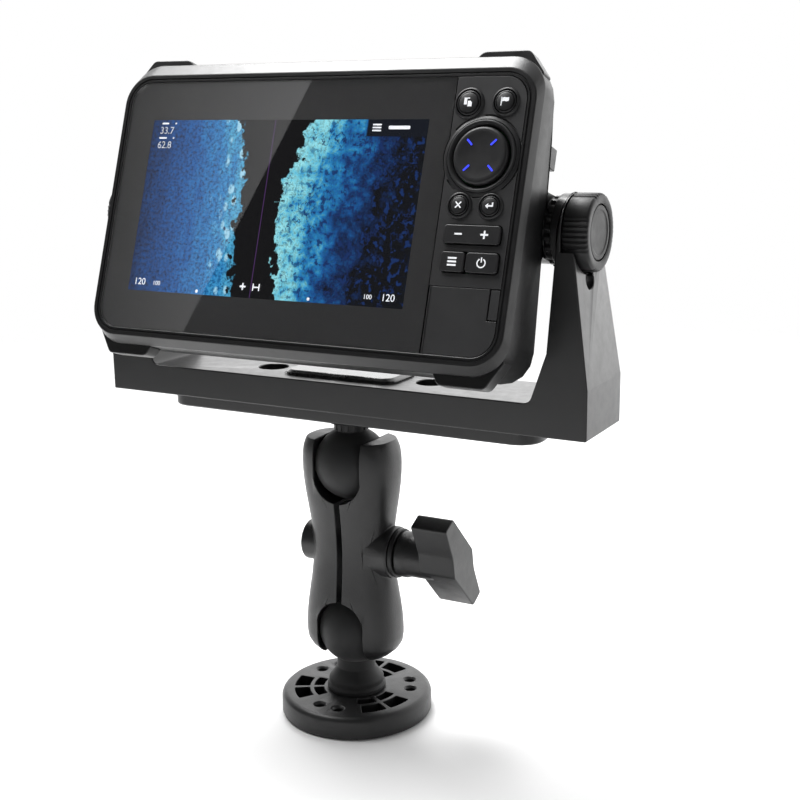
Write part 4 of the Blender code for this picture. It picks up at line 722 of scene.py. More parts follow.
# ---- base plate and balls
class FISHFINDER_OT_base(bpy.types.Operator):
    """Base plate with its webbed pockets, and the lower ball on its flared stud"""
    bl_idname = "fishfinder.base"
    bl_label = "Base Plate and Lower Ball"

    def execute(self, context):
        low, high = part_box("base_plate")
        r, top = high[0], high[2]
        profile = [(0, 0), (r - 0.0016, 0), (r - 0.0004, 0.0004), (r, 0.0014), (r, top - 0.0030),
                   (r - 0.0005, top - 0.0016), (r - 0.0017, top - 0.0004), (r - 0.0030, top), (0, top)]
        disc = turned(profile, steps=96)
        tools = []
        rib = 0.0011
        rings = ((0.0175, r * 0.60 - rib, 29), (r * 0.60 + rib, r * 0.83, 25))
        for group in (90, 210, 330):
            for hand in (-1, 1):
                for inner, outer, span in rings:
                    start = math.degrees(rib / ((inner + outer) / 2))
                    edges = sorted((group + hand * start, group + hand * span))
                    outline = arc((0, 0), outer, *edges, 8) + arc((0, 0), inner, *edges[::-1], 8)
                    tools.append(slab([filleted(outline, 0.0012, 3)], top - 0.0078, top + 0.002, "Z"))
        hole_circle = 0.0290
        for pair in (30, 150, 270):
            for spread in (-11, 11):
                angle = math.radians(pair + spread)
                spot = (hole_circle * math.cos(angle), hole_circle * math.sin(angle))
                tools.append(turned([(0, -0.001), (0.0024, -0.001), (0.0024, top - 0.0012),
                                     (0.0036, top + 0.0001), (0.0036, top + 0.002), (0, top + 0.002)],
                                    steps=32, centre=spot))
        piece("base_disc", carved(disc, *tools), "base_plate", "mount", edge=0.0004)

        ball = Vector(JOINTS["lower_tilt"]["pos_m"])
        low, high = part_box("lower_ball_stud")
        radius = high[2] - ball.z
        neck = 0.0100
        turn = math.pi - math.asin(neck / radius)
        globe = [(radius * math.sin(turn * i / 28), ball.z + radius * math.cos(turn * i / 28))
                 for i in range(29)]
        foot = low[2]
        stem = [(neck, foot + 0.0150), (neck * 1.03, foot + 0.0118), (neck * 1.22, foot + 0.0086),
                (neck * 1.36, foot + 0.0070), (0.0142, foot + 0.0062), (0.0145, foot + 0.0054),
                (0.0145, foot + 0.0032), (0.0149, foot + 0.0026), (0.0155, foot + 0.0018),
                (0.0155, foot + 0.0004), (0.0151, foot), (0, foot)]
        piece("lower_ball", turned(globe + stem, steps=72), "lower_ball_stud", "ball", sharp=16)
        return {"FINISHED"}


# ---- arm
def arm_section(height, reach, half_width, half_depth, spacing):
    """Half width and half depth of the arm at a height above its middle."""
    waist, waist_depth = sizes().arm_waist / 2, sizes().arm_waist_depth / 2
    swell = math.sin(math.pi / 2 * min(abs(height) / (spacing / 2), 1)) ** 2
    past = max(0.0, abs(height) - spacing / 2) / (reach - spacing / 2)
    shrink = 1 - (0.34 if height < 0 else 0.10) * past ** 3
    return ((waist + (half_width - waist) * swell) * shrink,
            (waist_depth + (half_depth - waist_depth) * swell) * shrink)


class FISHFINDER_OT_arm(bpy.types.Operator):
    """The two arm halves with their sockets and slots, the clamp bolt, spring and washer"""
    bl_idname = "fishfinder.arm"
    bl_label = "Double-Socket Arm"

    def execute(self, context):
        lower = JOINTS["lower_tilt"]["pos_m"][2]
        upper = JOINTS["upper_tilt"]["pos_m"][2]
        centre = (lower + upper) / 2
        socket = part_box("lower_ball_stud")[1][2] - lower + 0.00065
        bolt_hole, spring_pocket, hex_pocket = 0.0044, 0.0088, 0.0078
        squareness = 0.78
        for side, node in ((-1, "arm_half_left"), (1, "arm_half_right")):
            low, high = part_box(node)
            reach = (high[2] - low[2]) / 2
            half_width = 0.0262
            half_depth = high[1]
            split = min(abs(low[0]), abs(high[0]))
            rings = []
            for i in range(25):
                height = -reach * math.cos(math.pi * i / 24)
                a, b = arm_section(height, reach, half_width, half_depth, upper - lower)
                ring = []
                for j in range(64):
                    t = 2 * math.pi * (j + 0.5) / 64
                    c, s = math.cos(t), math.sin(t)
                    ring.append((math.copysign(abs(c) ** squareness, c) * a,
                                 math.copysign(abs(s) ** squareness, s) * b, centre + height))
                rings.append(ring)
            body = loft(rings)
            boss = 0.0108 if side < 0 else 0.0134
            root = sizes().arm_waist / 3.4
            tip = max(abs(low[0]), abs(high[0]))
            boss_rod = turned([(0, side * root), (boss * 0.98, side * root),
                (boss, side * (tip - 0.0016)), (boss, side * (tip - 0.0009)), (boss * 0.97, side * tip),
                (0, side * tip)], "X", 56, centre=(0, centre))
            body = carved(body, boss_rod, operation="UNION")
            tools = [slab([[(-0.1, low[2] - 0.05), (0.1, low[2] - 0.05), (0.1, high[2] + 0.05),
                            (-0.1, high[2] + 0.05)]], *sorted((side * split, -side * 0.1)), "X")]
            for level in (lower, upper):
                sphere = [(0 if i in (0, 24) else socket * math.sin(math.pi * i / 24),
                           socket * math.cos(math.pi * i / 24)) for i in range(25)]
                tools.append(moved(turned(sphere, "X", 48), Matrix.Translation((0, 0, level))))
                way = 1 if level == upper else -1
                half = sizes().slot_width / 2
                outline = arc((0, -sizes().slot_depth + half), half, 180, 360, 20) + [(half, 0.06),
                    (-half, 0.06)]
                outline = [(x, level + way * y) for x, y in outline]
                tools.append(slab([outline], -0.06, 0.06, "Y"))
            tools.append(rod(bolt_hole, -0.05, 0.05, "X", 32, (0, centre)))
            tools.append(rod(spring_pocket, -0.008, 0.008, "X", 40, (0, centre)))
            if side < 0:
                tools.append(rod(hex_pocket, -0.0308, -0.0208, "X", 6, (0, centre)))
            piece(f"{node}_shell", carved(body, *tools), node, "mount", edge=0.0005, sharp=38)
        refined("clamp_washer", "grip", 0.0006, 3)
        refined("clamp_bolt", "steel", 0.0005)
        keep("steel", "arm_spring")
        return {"FINISHED"}


class FISHFINDER_OT_clamp_knob(bpy.types.Operator):
    """The T-shaped clamp knob: a turned hub, and a wing with hollowed flanks"""
    bl_idname = "fishfinder.clamp_knob"
    bl_label = "Clamp Knob"

    def execute(self, context):
        start, tip = [corner[0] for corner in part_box("arm_knob")]
        axis = JOINTS["clamp_knob_turn"]["pos_m"]
        wing_x = start + 0.0150
        r = 0.0118
        hub = turned([(0.0071, start + 0.0008), (0.0071, wing_x + 0.004), (0, wing_x + 0.004),
            (0, wing_x + 0.006), (r * 0.93, wing_x + 0.006), (r * 0.93, start + 0.0072),
            (r * 0.96, start + 0.0060), (r, start + 0.0048), (r, start + 0.0008), (r - 0.0006, start),
            (0.0078, start)], "X", 64, closed=True)
        length, width = 0.0590, 0.0226
        half = [(-0.0048, length / 2), (0.0048, length / 2 - 0.0010), (width / 2, -0.0018),
            (0.0070, -0.0118)]
        outline = filleted(half + [(-x, -y) for x, y in half], 0.0014, 4)
        wing = slab([outline], wing_x, tip, "X")
        knob = moved(gathered(hub, wing), Matrix.Translation((0, axis[1], axis[2]))
                     @ Matrix.Rotation(math.radians(33), 4, "X"))
        piece("clamp_knob", knob, "arm_knob", "mount", edge=0.0007, segments=3, sharp=36)
        keep("brass", "knob_insert")
        return {"FINISHED"}


class FISHFINDER_OT_upper_mount(bpy.types.Operator):
    """The upper ball with its panelled neck, the adapter plate and its screws"""
    bl_idname = "fishfinder.upper_mount"
    bl_label = "Upper Ball and Plate"

    def execute(self, context):
        ball = Vector(JOINTS["upper_tilt"]["pos_m"])
        low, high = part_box("upper_ball_stud")
        radius = ball.z - low[2]
        neck = 0.0082
        turn = math.asin(neck / radius)
        globe = [(radius * math.sin(turn + (math.pi - turn) * i / 28),
                  ball.z + radius * math.cos(turn + (math.pi - turn) * i / 28)) for i in range(29)]
        globe[-1] = (0, globe[-1][1])
        top = high[2]
        stem = [(0, top), (neck * 1.40, top), (neck * 1.42, top - 0.0003), (neck * 1.42, top - 0.0006),
                (neck * 1.04, top - 0.0008), (neck * 1.03, top - 0.0020), (neck, globe[0][1] + 0.0004)]
        piece("upper_ball", turned(stem + globe, steps=72), "upper_ball_stud", "ball", sharp=40)
        bm = bmesh.new()
        for i in range(14):
            turn_by = Matrix.Rotation(2 * math.pi * i / 14, 4, "Z")
            rib = slab([bar(neck * 1.02, 0, 0.0009, 0.0022, 0.0003, 3)], globe[0][1] + 0.0006,
                top - 0.0009, "Z")
            bm = gathered(bm, moved(rib, turn_by))
        trim("upper_neck_strips", bm, "upper_ball_stud", "grip", edge=0.00015)
        refined("mount_plate", "bracket", 0.0010, 3)
        for side in ("left", "right"):
            refined(f"plate_screw_{side}", "steel", 0.0003)
        return {"FINISHED"}


# ---- bracket and side knobs
class FISHFINDER_OT_bracket(bpy.types.Operator):
    """The gimbal bracket and the pad on its base"""
    bl_idname = "fishfinder.bracket"
    bl_label = "Gimbal Bracket"

    def execute(self, context):
        refined("gimbal_bracket", "bracket", sizes().edge, 3, 25)
        refined("bracket_pad", "pad", 0.0004, 3, 20)
        low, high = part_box("bracket_pad")
        # a thin, very dark bead round the foot of the pad: painted shadow where the pad meets the base
        line = [(x, y, low[2] + 0.0001)
                for x, y in bar(0, 0, high[0] * 2 + 0.0012, high[1] * 2 + 0.0012, 0.0074, 8)]
        trim("pad_seam", tube(line + line[:1], 0.00012), "bracket_pad", "groove")
        return {"FINISHED"}


class FISHFINDER_OT_side_knobs(bpy.types.Operator):
    """Both side knobs with their ribbed bands, caps, washers, studs and toothed rings"""
    bl_idname = "fishfinder.side_knobs"
    bl_label = "Side Knobs"

    def execute(self, context):
        depth, count = sizes().rib_depth, sizes().ribs
        steps = 288
        for side, name in ((-1, "left"), (1, "right")):
            low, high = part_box(f"side_knob_{name}")
            inner, outer = (low[0], high[0]) if side > 0 else (-high[0], -low[0])
            y, z = middle(f"side_knob_{name}")[1:]
            radius = (high[2] - low[2]) / 2
            cap = 0.01285

            def rim(level, shrink, ribbed):
                ring = []
                for i in range(steps):
                    angle = 360 * i / steps
                    off = (angle + 45) % 90 - 45
                    groove = 0.0
                    if abs(off) < 26 and ribbed:
                        turns = 2 * math.pi * (off / 52 + 0.5) * count
                        groove = depth * (0.5 - 0.5 * math.cos(turns)) ** 0.7
                    r = radius - shrink - groove * ribbed
                    t = math.radians(angle)
                    ring.append((side * level, y + r * math.cos(t), z + r * math.sin(t)))
                return ring

            def plain(level, r):
                return [(side * level, y + r * math.cos(2 * math.pi * i / steps),
                         z + r * math.sin(2 * math.pi * i / steps)) for i in range(steps)]

            seat = outer - 0.0026
            rings = [plain(inner + 0.0014, 0.0102), plain(inner, 0.0106), rim(inner, 0.0010, 0.0),
                rim(inner + 0.0004, 0.0004, 0.6), rim(inner + 0.0010, 0.0, 1.0),
                rim(outer - 0.0012, 0.0, 1.0), rim(outer - 0.0005, 0.0003, 0.9),
                rim(outer - 0.0001, 0.0009, 0.4), rim(outer, 0.0016, 0.0), plain(outer, cap + 0.0006),
                plain(outer - 0.0004, cap), plain(seat, cap)]
            piece(f"side_knob_{name}_grip", loft(rings), f"side_knob_{name}", "grip", sharp=42)
            c = cap - 0.0004
            disc = [(0, seat), (c, seat), (c, outer - 0.0009), (c - 0.0005, outer - 0.0004),
                (c - 0.0022, outer - 0.0004), (c - 0.0028, outer - 0.0008),
                (c - 0.0052, outer - 0.0009), (0, outer - 0.0010)]
            piece(f"side_cap_{name}_disc", turned([(r, side * x) for r, x in disc], "X", 72,
                centre=(y, z)), f"side_cap_{name}", "grip", edge=0.0002, sharp=25)
            refined(f"side_washer_{name}", "steel", 0.0002)
            refined(f"ratchet_ring_{name}", "casing", 0.0003)
            keep("steel", f"side_stud_{name}")
        return {"FINISHED"}


# ---- bezel and housing
def bezel_ring(inset, share, depth, shape):
    """The bezel's outline: inset from the face's edge, and grown by a share towards its widest."""
    width, low, high, grow_side, grow_top, grow_bottom, corner = shape
    half = width / 2 - inset + grow_side * share
    outline = rounded(-half, half, low + inset - grow_bottom * share, high - inset + grow_top * share,
                      (max(corner - inset + 0.002 * share, 0.0006),) * 4, 12)
    return [(x, depth, z) for x, z in outline]


class FISHFINDER_OT_bezel(bpy.types.Operator):
    """The front bezel with its stepped rim, its wide chamfer and the four corner guards"""
    bl_idname = "fishfinder.bezel"
    bl_label = "Front Bezel"

    def execute(self, context):
        low, high = face_box("front_bezel")
        glass_low, glass_high = face_box("front_glass")
        rim = sizes().bezel_rim
        half_height = glass_high.z + GAP + rim
        half_width = -glass_low.x + GAP + rim
        depth = high.y
        shape = (half_width * 2, -half_height, half_height, 0.0012, 0.0066, 0.0036, 0.0150)
        profile = [(rim + 0.0024, 0, 0.0023), (rim, 0, 0.0023), (rim, 0, 0.0001),
            (rim - 0.0002, 0, 0.0), (rim - 0.0009, 0, 0.0), (rim - 0.0011, 0, 0.0004),
            (rim - 0.0016, 0, 0.0005), (rim - 0.0018, 0, 0.0), (0.0006, 0, 0.0), (0.0002, 0, 0.0001),
            (0, 0.03, 0.0004), (0, 0.94, 0.0052), (0, 1.0, 0.0058), (0, 1.0, depth - 0.0004),
            (0.0004, 1.0, depth), (0.0040, 1.0, depth), (rim + 0.0024, 0, depth)]
        frame_part = loft([bezel_ring(*row, shape) for row in profile], closed=True)
        top, bottom, side = half_height + 0.0066, -half_height - 0.0036, half_width + 0.0012
        guards = []
        for hand in (-1, 1):
            for crest, edge, way in ((high.z, top, 1), (low.z, bottom, -1)):
                outline = [(side - 0.0360, edge - way * 0.0010), (side - 0.0325, crest - way * 0.0001),
                           (side - 0.0100, crest), (side - 0.0015, edge - way * 0.0080),
                           (side - 0.0080, edge - way * 0.0100)]
                outline = filleted([(hand * x, z) for x, z in outline], 0.0020, 5)
                guards.append(slab([outline], 0.0066, depth - 0.0003))
        piece("bezel_frame", frame_part, "front_bezel", "casing", on_face=True, sharp=11)
        for number, guard in enumerate(guards):
            trim(f"corner_guard_{number + 1}", guard, "front_bezel", "casing", on_face=True,
                 edge=0.0006, segments=3)
        return {"FINISHED"}


class FISHFINDER_OT_housing(bpy.types.Operator):
    """The rear housing, its screws and the three threaded cable sockets"""
    bl_idname = "fishfinder.housing"
    bl_label = "Rear Housing"

    def execute(self, context):
        refined("rear_housing", "casing", sizes().edge, 3, 24, on_face=True)
        for side in ("left", "right"):
            for level in ("low", "high"):
                refined(f"housing_screw_{side}_{level}", "steel", 0.0002, on_face=True)
        for node in ("power_socket", "sonar_socket", "network_socket"):
            low, high = face_box(node)
            x, z = (low.x + high.x) / 2, (low.z + high.z) / 2
            flange = (high.x - low.x) / 2
            r = flange - 0.0020
            start, end = high.y - 0.0110, high.y
            thread = []
            level = start + 0.0030
            while level < end - 0.0016:
                thread += [(r - 0.0005, level), (r, level + 0.0005), (r, level + 0.0007),
                    (r - 0.0005, level + 0.0012)]
                level += 0.0014
            profile = ([(0, low.y), (r - 0.0014, low.y), (r - 0.0014, start), (flange - 0.0003, start),
                (flange, start + 0.0003), (flange, start + 0.0018), (flange - 0.0004, start + 0.0022),
                (r - 0.0005, start + 0.0024)] + thread + [(r - 0.0005, end - 0.0006), (r - 0.0010, end),
                (r - 0.0018, end), (r - 0.0018, end - 0.0034), (0, end - 0.0034)])
            barrel = turned(profile, "Y", 48, centre=(x, z))
            key = slab([bar(x, z + r - 0.0024, 0.0016, 0.0018, 0.0003)], end - 0.0040, end - 0.0012)
            piece(f"{node}_barrel", gathered(barrel, key), node, "socket", on_face=True, sharp=30)
            for i in range(3):
                angle = 2 * math.pi * i / 3 + math.pi / 2
                spot = (x + 0.0034 * math.cos(angle), z + 0.0034 * math.sin(angle))
                pin = turned([(0, end - 0.0040), (0.0007, end - 0.0040), (0.0007, end - 0.0012),
                              (0.0004, end - 0.0008), (0, end - 0.0008)], "Y", 16, centre=spot)
                trim(f"{node}_contact_{i + 1}", pin, node, "brass", on_face=True)
        keep("seal", "housing_gasket")
        return {"FINISHED"}


# ---- display
def digits(name, text, x, z, height, depth, node, finish):
    """Numerals as thin raised marks, from their lower left corner."""
    curve = bpy.data.curves.new(name, "FONT")
    curve.body = text
    curve.size = height * 1.38
    curve.extrude = 0.00002
    bm = filled_curve(curve)
    for vert in bm.verts:
        a, b, t = vert.co
        vert.co = (x + a, depth + t, z + b)
    bmesh.ops.reverse_faces(bm, faces=bm.faces)
    return trim(name, bm, node, finish, on_face=True)


class FISHFINDER_OT_display(bpy.types.Operator):
    """The cover glass, the black print behind it, the lit picture and the boards inside"""
    bl_idname = "fishfinder.display"
    bl_label = "Display"

    def execute(self, context):
        low, high = face_box("front_glass")
        lcd_low, lcd_high = face_box("lcd_panel")
        x = (lcd_low.x + lcd_high.x) / 2
        width, height = sizes().screen_width, sizes().screen_height
        cursor = middle("cursor_pad", FACE)
        bulge = cursor.x - face_box("keypad_panel")[0].x + GAP
        half_angle = math.degrees(math.acos((cursor.x - high.x) / bulge))
        outline = rounded(low.x, high.x, low.z, high.z, (0, 0, 0.0111, 0.0111), 12)
        outline[1:1] = reversed(arc((cursor.x, cursor.z), bulge,
                                    180 - half_angle, 180 + half_angle, 16))
        thickness = high.y
        piece("cover_glass", slab([outline], 0, thickness), "front_glass", "glass", on_face=True)
        window = bar(x, 0, width, height, 0.0003, 2)
        near = thickness + 0.00004
        edge = [(px * 0.999, pz * 0.999) for px, pz in outline]
        # the black print behind the glass, which carries a faint painted glow
        trim("glass_mask", slab([edge, window], near, near + 0.00004), "front_glass", "mask",
             on_face=True)
        level = lcd_low.y - 0.00016
        picture = linked("sonar_picture", slab([bar(0, 0, width + 0.0006, height + 0.0006, 0.0002, 1)],
            0, 0.00008), FACE @ Matrix.Translation((x, level, 0)))
        picture.data.materials.append(sonar_picture(width, height,
            context.scene.fish_finder_finish.picture))
        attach(picture, BODY_OF["lcd_panel"])
        # the LCD panel takes the same black print, with its faint painted glow
        keep("mask", "lcd_panel")

        left, top = x - width / 2, height / 2
        front = level - 0.00004
        for name, text, u, v, size, finish in (("depth_digits", "33.7", 0.030, 0.920, 0.0036, "faint"),
                ("heat_digits", "62.8", 0.028, 0.835, 0.0036, "faint"),
                ("range_low_left", "120", 0.020, 0.035, 0.0034, "digits"),
                ("range_mid_left", "100", 0.095, 0.037, 0.0022, "digits"),
                ("range_mid_right", "100", 0.865, 0.040, 0.0022, "digits"),
                ("range_low_right", "120", 0.925, 0.035, 0.0034, "digits")):
            digits(name, text, left + u * width, -top + v * height, size, front, "lcd_panel", finish)
        strokes = []
        for u, v, w, h in ((0.048, 0.980, 0.0040, 0.0008), (0.090, 0.980, 0.0009, 0.0008),
                           (0.046, 0.895, 0.0046, 0.0008), (0.088, 0.895, 0.0009, 0.0008),
                           (0.830, 0.972, 0.0046, 0.0007), (0.830, 0.956, 0.0046, 0.0007),
                           (0.830, 0.940, 0.0046, 0.0007), (0.905, 0.956, 0.0110, 0.0016),
                           (0.440, 0.062, 0.0034, 0.0008), (0.440, 0.062, 0.0008, 0.0034),
                           (0.478, 0.062, 0.0006, 0.0034), (0.500, 0.062, 0.0006, 0.0034),
                           (0.489, 0.062, 0.0034, 0.0006), (0.27, 0.018, 0.0014, 0.0014),
                           (0.68, 0.018, 0.0014, 0.0014)):
            strokes.append(slab([bar(left + u * width, -top + v * height, w, h, min(w, h) * 0.3, 2)],
                                front - 0.00003, front))
        trim("screen_marks", gathered(*strokes), "lcd_panel", "digits", on_face=True)
        keep("cast", "display_chassis")
        keep("board", "main_board", "keypad_board")
        return {"FINISHED"}


# ---- keys
def key_place(node):
    """A key's middle on the face, its half sizes and its front level."""
    low, high = face_box(node)
    return ((low.x + high.x) / 2, (low.z + high.z) / 2,
            (high.x - low.x) / 2, (high.z - low.z) / 2, low.y, high.y)


class FISHFINDER_OT_key_panel(bpy.types.Operator):
    """The panel round the keys, with its collars, its cut arcs and the dished cursor ring"""
    bl_idname = "fishfinder.key_panel"
    bl_label = "Key Panel"

    def execute(self, context):
        low, high = face_box("keypad_panel")
        glass_high = face_box("front_glass")[1]
        cursor = middle("cursor_pad", FACE)
        left = glass_high.x + GAP
        bulge = cursor.x - low.x
        half_angle = math.degrees(math.acos((cursor.x - left) / bulge))
        outline = rounded(left, high.x, low.z, high.z, (0, 0.0111, 0, 0), 12)
        outline[-1:-1] = arc((cursor.x, cursor.z), bulge, 180 - half_angle, 180 + half_angle, 16)
        holes = []
        collars = []
        for node in ("pages_key", "waypoint_key", "exit_key", "enter_key"):
            x, z, r, _, front, back = key_place(node)
            holes.append(circle((x, z), r + 0.0004, 40))
            rise = 0.0009
            collars.append(turned([(r + 0.00045, 0.0010), (r + 0.00045, -rise + 0.0002),
                (r + 0.0006, -rise), (r + 0.0009, -rise), (r + 0.0013, -rise + 0.0004),
                (r + 0.0017, 0.0002), (r + 0.0017, 0.0010)], "Y", 56, closed=True, centre=(x, z)))
        holes.append(circle((cursor.x, cursor.z), 0.0165, 72))
        for x, z, w, h in ((0.0909, -0.0088, 0.0270, 0.0082), (0.0914, -0.0210, 0.0273, 0.0088)):
            holes.append(bar(x, z, w + 0.0008, h + 0.0008, 0.0020, 6))
        plate = slab([outline] + holes, 0, high.y)
        tools = [slab([sector((cursor.x, cursor.z), 0.0180, 0.0187, start, end)], -0.001, 0.0008)
                 for start, end in ((-50, 92), (118, 140), (216, 233))]
        tools.append(slab([bar(cursor.x, 0.0080, 0.0036, 0.0010, 0.0004, 3)], -0.001, 0.0009))
        piece("key_panel", carved(plate, *tools), "keypad_panel", "panel", on_face=True,
              edge=0.00018, sharp=40)
        trim("key_collars", gathered(*collars), "keypad_panel", "key", on_face=True, sharp=50)

        r = 0.0135
        outer = 0.0162
        ring_low, ring_high = face_box("cursor_ring")
        dish = [(r, ring_high.y), (r, 0.0008), (r + 0.0002, 0.0001), (r + 0.0006, -0.0005),
            (r + 0.0011, -0.0009), (r + 0.0016, -0.0011), (r + 0.0021, ring_low.y),
            (r + 0.0025, -0.0010), (outer, -0.0008), (outer, ring_high.y)]
        lip = turned([(0.0165, 0.0003), (0.0165, -0.0007), (0.0169, -0.0006), (0.0179, -0.00004),
                      (0.0179, 0.0003)], "Y", 96, closed=True, centre=(cursor.x, cursor.z))
        trim("cursor_lip", lip, "keypad_panel", "ring", on_face=True, sharp=60)
        piece("cursor_ring_dish", turned(dish, "Y", 96, closed=True, centre=(cursor.x, cursor.z)),
            "cursor_ring", "ring", on_face=True, sharp=60)
        return {"FINISHED"}


def mark(name, outlines, x, z, front, node):
    """A thin white mark on a key, drawn about the key's middle at 1.4 times millimetres."""
    size = 1.4 * MM
    parts = []
    for group in outlines:
        placed = [[(x + a * size, z + b * size) for a, b in outline] for outline in group]
        parts.append(slab(placed, front - 0.00006, front + 0.00025))
    return trim(name, gathered(*parts), node, "mark", on_face=True)


class FISHFINDER_OT_keys(bpy.types.Operator):
    """Every key with its white mark, and the cursor pad with its four lights"""
    bl_idname = "fishfinder.keys"
    bl_label = "Keys"

    def execute(self, context):
        page = [(-0.2, -0.8), (1.2, -0.8), (1.2, 0.5), (0.6, 1.0), (-0.2, 1.0)]
        marks = {
            "pages_key": [
                [[(-1.4, -0.7), (-0.4, -0.7), (-0.4, 1.2), (0.5, 1.2), (0.5, 1.5), (-1.4, 1.5)]],
                [[(a + 0.1, b - 0.5) for a, b in page]]],
            "waypoint_key": [
                [[(-1.3, -1.5), (-1.0, -1.5), (-1.0, 1.3), (-1.3, 1.3)]],
                [[(-0.9, -0.2), (-0.2, 0.0), (0.5, -0.2), (1.3, 0.0),
                  (1.3, 1.2), (0.5, 1.0), (-0.2, 1.2), (-0.9, 1.0)]]],
            "exit_key": [
                [[(-1.1, -0.8), (-0.8, -1.1), (1.1, 0.8), (0.8, 1.1)]],
                [[(-1.1, 0.8), (0.8, -1.1), (1.1, -0.8), (-0.8, 1.1)]]],
            "enter_key": [
                [[(-1.4, -0.1), (-0.4, -1.0), (-0.4, -0.35), (1.3, -0.35), (1.3, 1.0),
                  (0.8, 1.0), (0.8, 0.15), (-0.4, 0.15), (-0.4, 0.8)]]],
            "menu_key": [
                [[(-1.5, b - 0.28), (1.5, b - 0.28), (1.5, b + 0.28), (-1.5, b + 0.28)]]
                for b in (-1.1, 0, 1.1)],
            "power_key": [
                [sector((0, -0.1), 1.15, 1.55, 125, 415)],
                [[(-0.2, 0.1), (0.2, 0.1), (0.2, 1.7), (-0.2, 1.7)]]],
        }
        for node in ("pages_key", "waypoint_key", "exit_key", "enter_key"):
            x, z, r, _, front, back = key_place(node)
            dome = [(0, back), (r, back), (r, front + 0.0009), (r - 0.0002, front + 0.0006),
                    (r * 0.90, front + 0.0005), (r * 0.86, front + 0.0010), (r * 0.82, front + 0.0010),
                    (r * 0.79, front + 0.0002), (r * 0.70, front), (0, front)]
            piece(f"{node}_cap", turned(dome, "Y", 56, centre=(x, z)), node, "key", on_face=True,
                sharp=50)
            mark(f"{node}_mark", marks[node], x, z, front, node)
        for node in ("zoom_key", "menu_key", "power_key"):
            x, z, w, h, front, back = key_place(node)
            cap = slab([bar(x, z, 2 * w, 2 * h, 0.0016, 6)], front, back)
            piece(f"{node}_cap", cap, node, "key", on_face=True, edge=0.0005, segments=3)
            if node != "zoom_key":
                mark(f"{node}_mark", marks[node], x, z, front, node)
        x, z, w, h, front, back = key_place("zoom_key")
        for name, offset, groups in (("minus", -0.46, [[bar(0, 0, 2.6, 0.55, 0.1, 2)]]),
                ("plus", 0.46, [[bar(0, 0, 2.6, 0.6, 0.1, 2)], [bar(0, 0, 0.6, 2.6, 0.1, 2)]])):
            mark(f"zoom_{name}", groups, x + offset * w, z, front, "zoom_key")

        low, high = face_box("cursor_pad")
        x, z = (low.x + high.x) / 2, (low.z + high.z) / 2
        r = (high.x - low.x) / 2
        face = low.y
        dish = [(0, face + 0.0018), (r - 0.0016, face + 0.0018), (r - 0.0016, high.y), (r, high.y),
            (r, face + 0.0013), (r - 0.0002, face + 0.0007), (r - 0.0007, face + 0.0002),
            (r - 0.0014, face), (r * 0.78, face + 0.0002), (r * 0.5, face + 0.0004),
            (r * 0.25, face + 0.0005), (0, face + 0.00052)]
        piece("cursor_pad_dish", turned(dish, "Y", 96, centre=(x, z)), "cursor_pad", "ring",
              on_face=True, sharp=50)
        lights = []
        for i in range(4):
            angle = math.pi / 4 + i * math.pi / 2
            outline = [(x + a * math.cos(angle) - b * math.sin(angle),
                        z + a * math.sin(angle) + b * math.cos(angle))
                       for a, b in bar(0.0081, 0, 0.0036, 0.0008, 0.0003, 4)]
            lights.append(slab([outline], face + 0.00012, face + 0.0012))
        piece("cursor_lights", gathered(*lights), "cursor_light", "light", on_face=True)
        keep("seal", "cursor_pivot")
        return {"FINISHED"}


class FISHFINDER_OT_card_bay(bpy.types.Operator):
    """The card door with its finger notch, its latch and the reader behind"""
    bl_idname = "fishfinder.card_bay"
    bl_label = "Card Bay"

    def execute(self, context):
        refined("card_door", "panel", 0.00025, 2, 30, on_face=True)
        refined("door_latch", "panel", 0.00025, 2, 30, on_face=True)
        keep("socket", "card_reader")
        return {"FINISHED"}


# ---- stage
def card_material(name, strength, brightest):
    """A soft card's material, brighter towards one edge."""
    w = Wiring(name)
    w.tree.nodes.remove(w.shader)
    glow = w.span(w.parts("Generated")[0], 0.45, 1.0, strength, brightest)
    lit = w.add("Emission", {"Strength": glow})
    w.feed(w.tree.nodes["Material Output"].inputs["Surface"], lit.outputs[0])
    return w.material


def soft_light(name, place, aim, size, power):
    lamp = bpy.data.lights.new(name, "AREA")
    lamp.shape = "RECTANGLE"
    lamp.size, lamp.size_y = size
    lamp.energy = power
    obj = bpy.data.objects.new(name, lamp)
    bpy.context.scene.collection.objects.link(obj)
    obj.location = place
    obj.rotation_euler = (Vector(aim) - Vector(place)).to_track_quat("-Z", "Y").to_euler()
    obj.visible_camera = False
    return obj


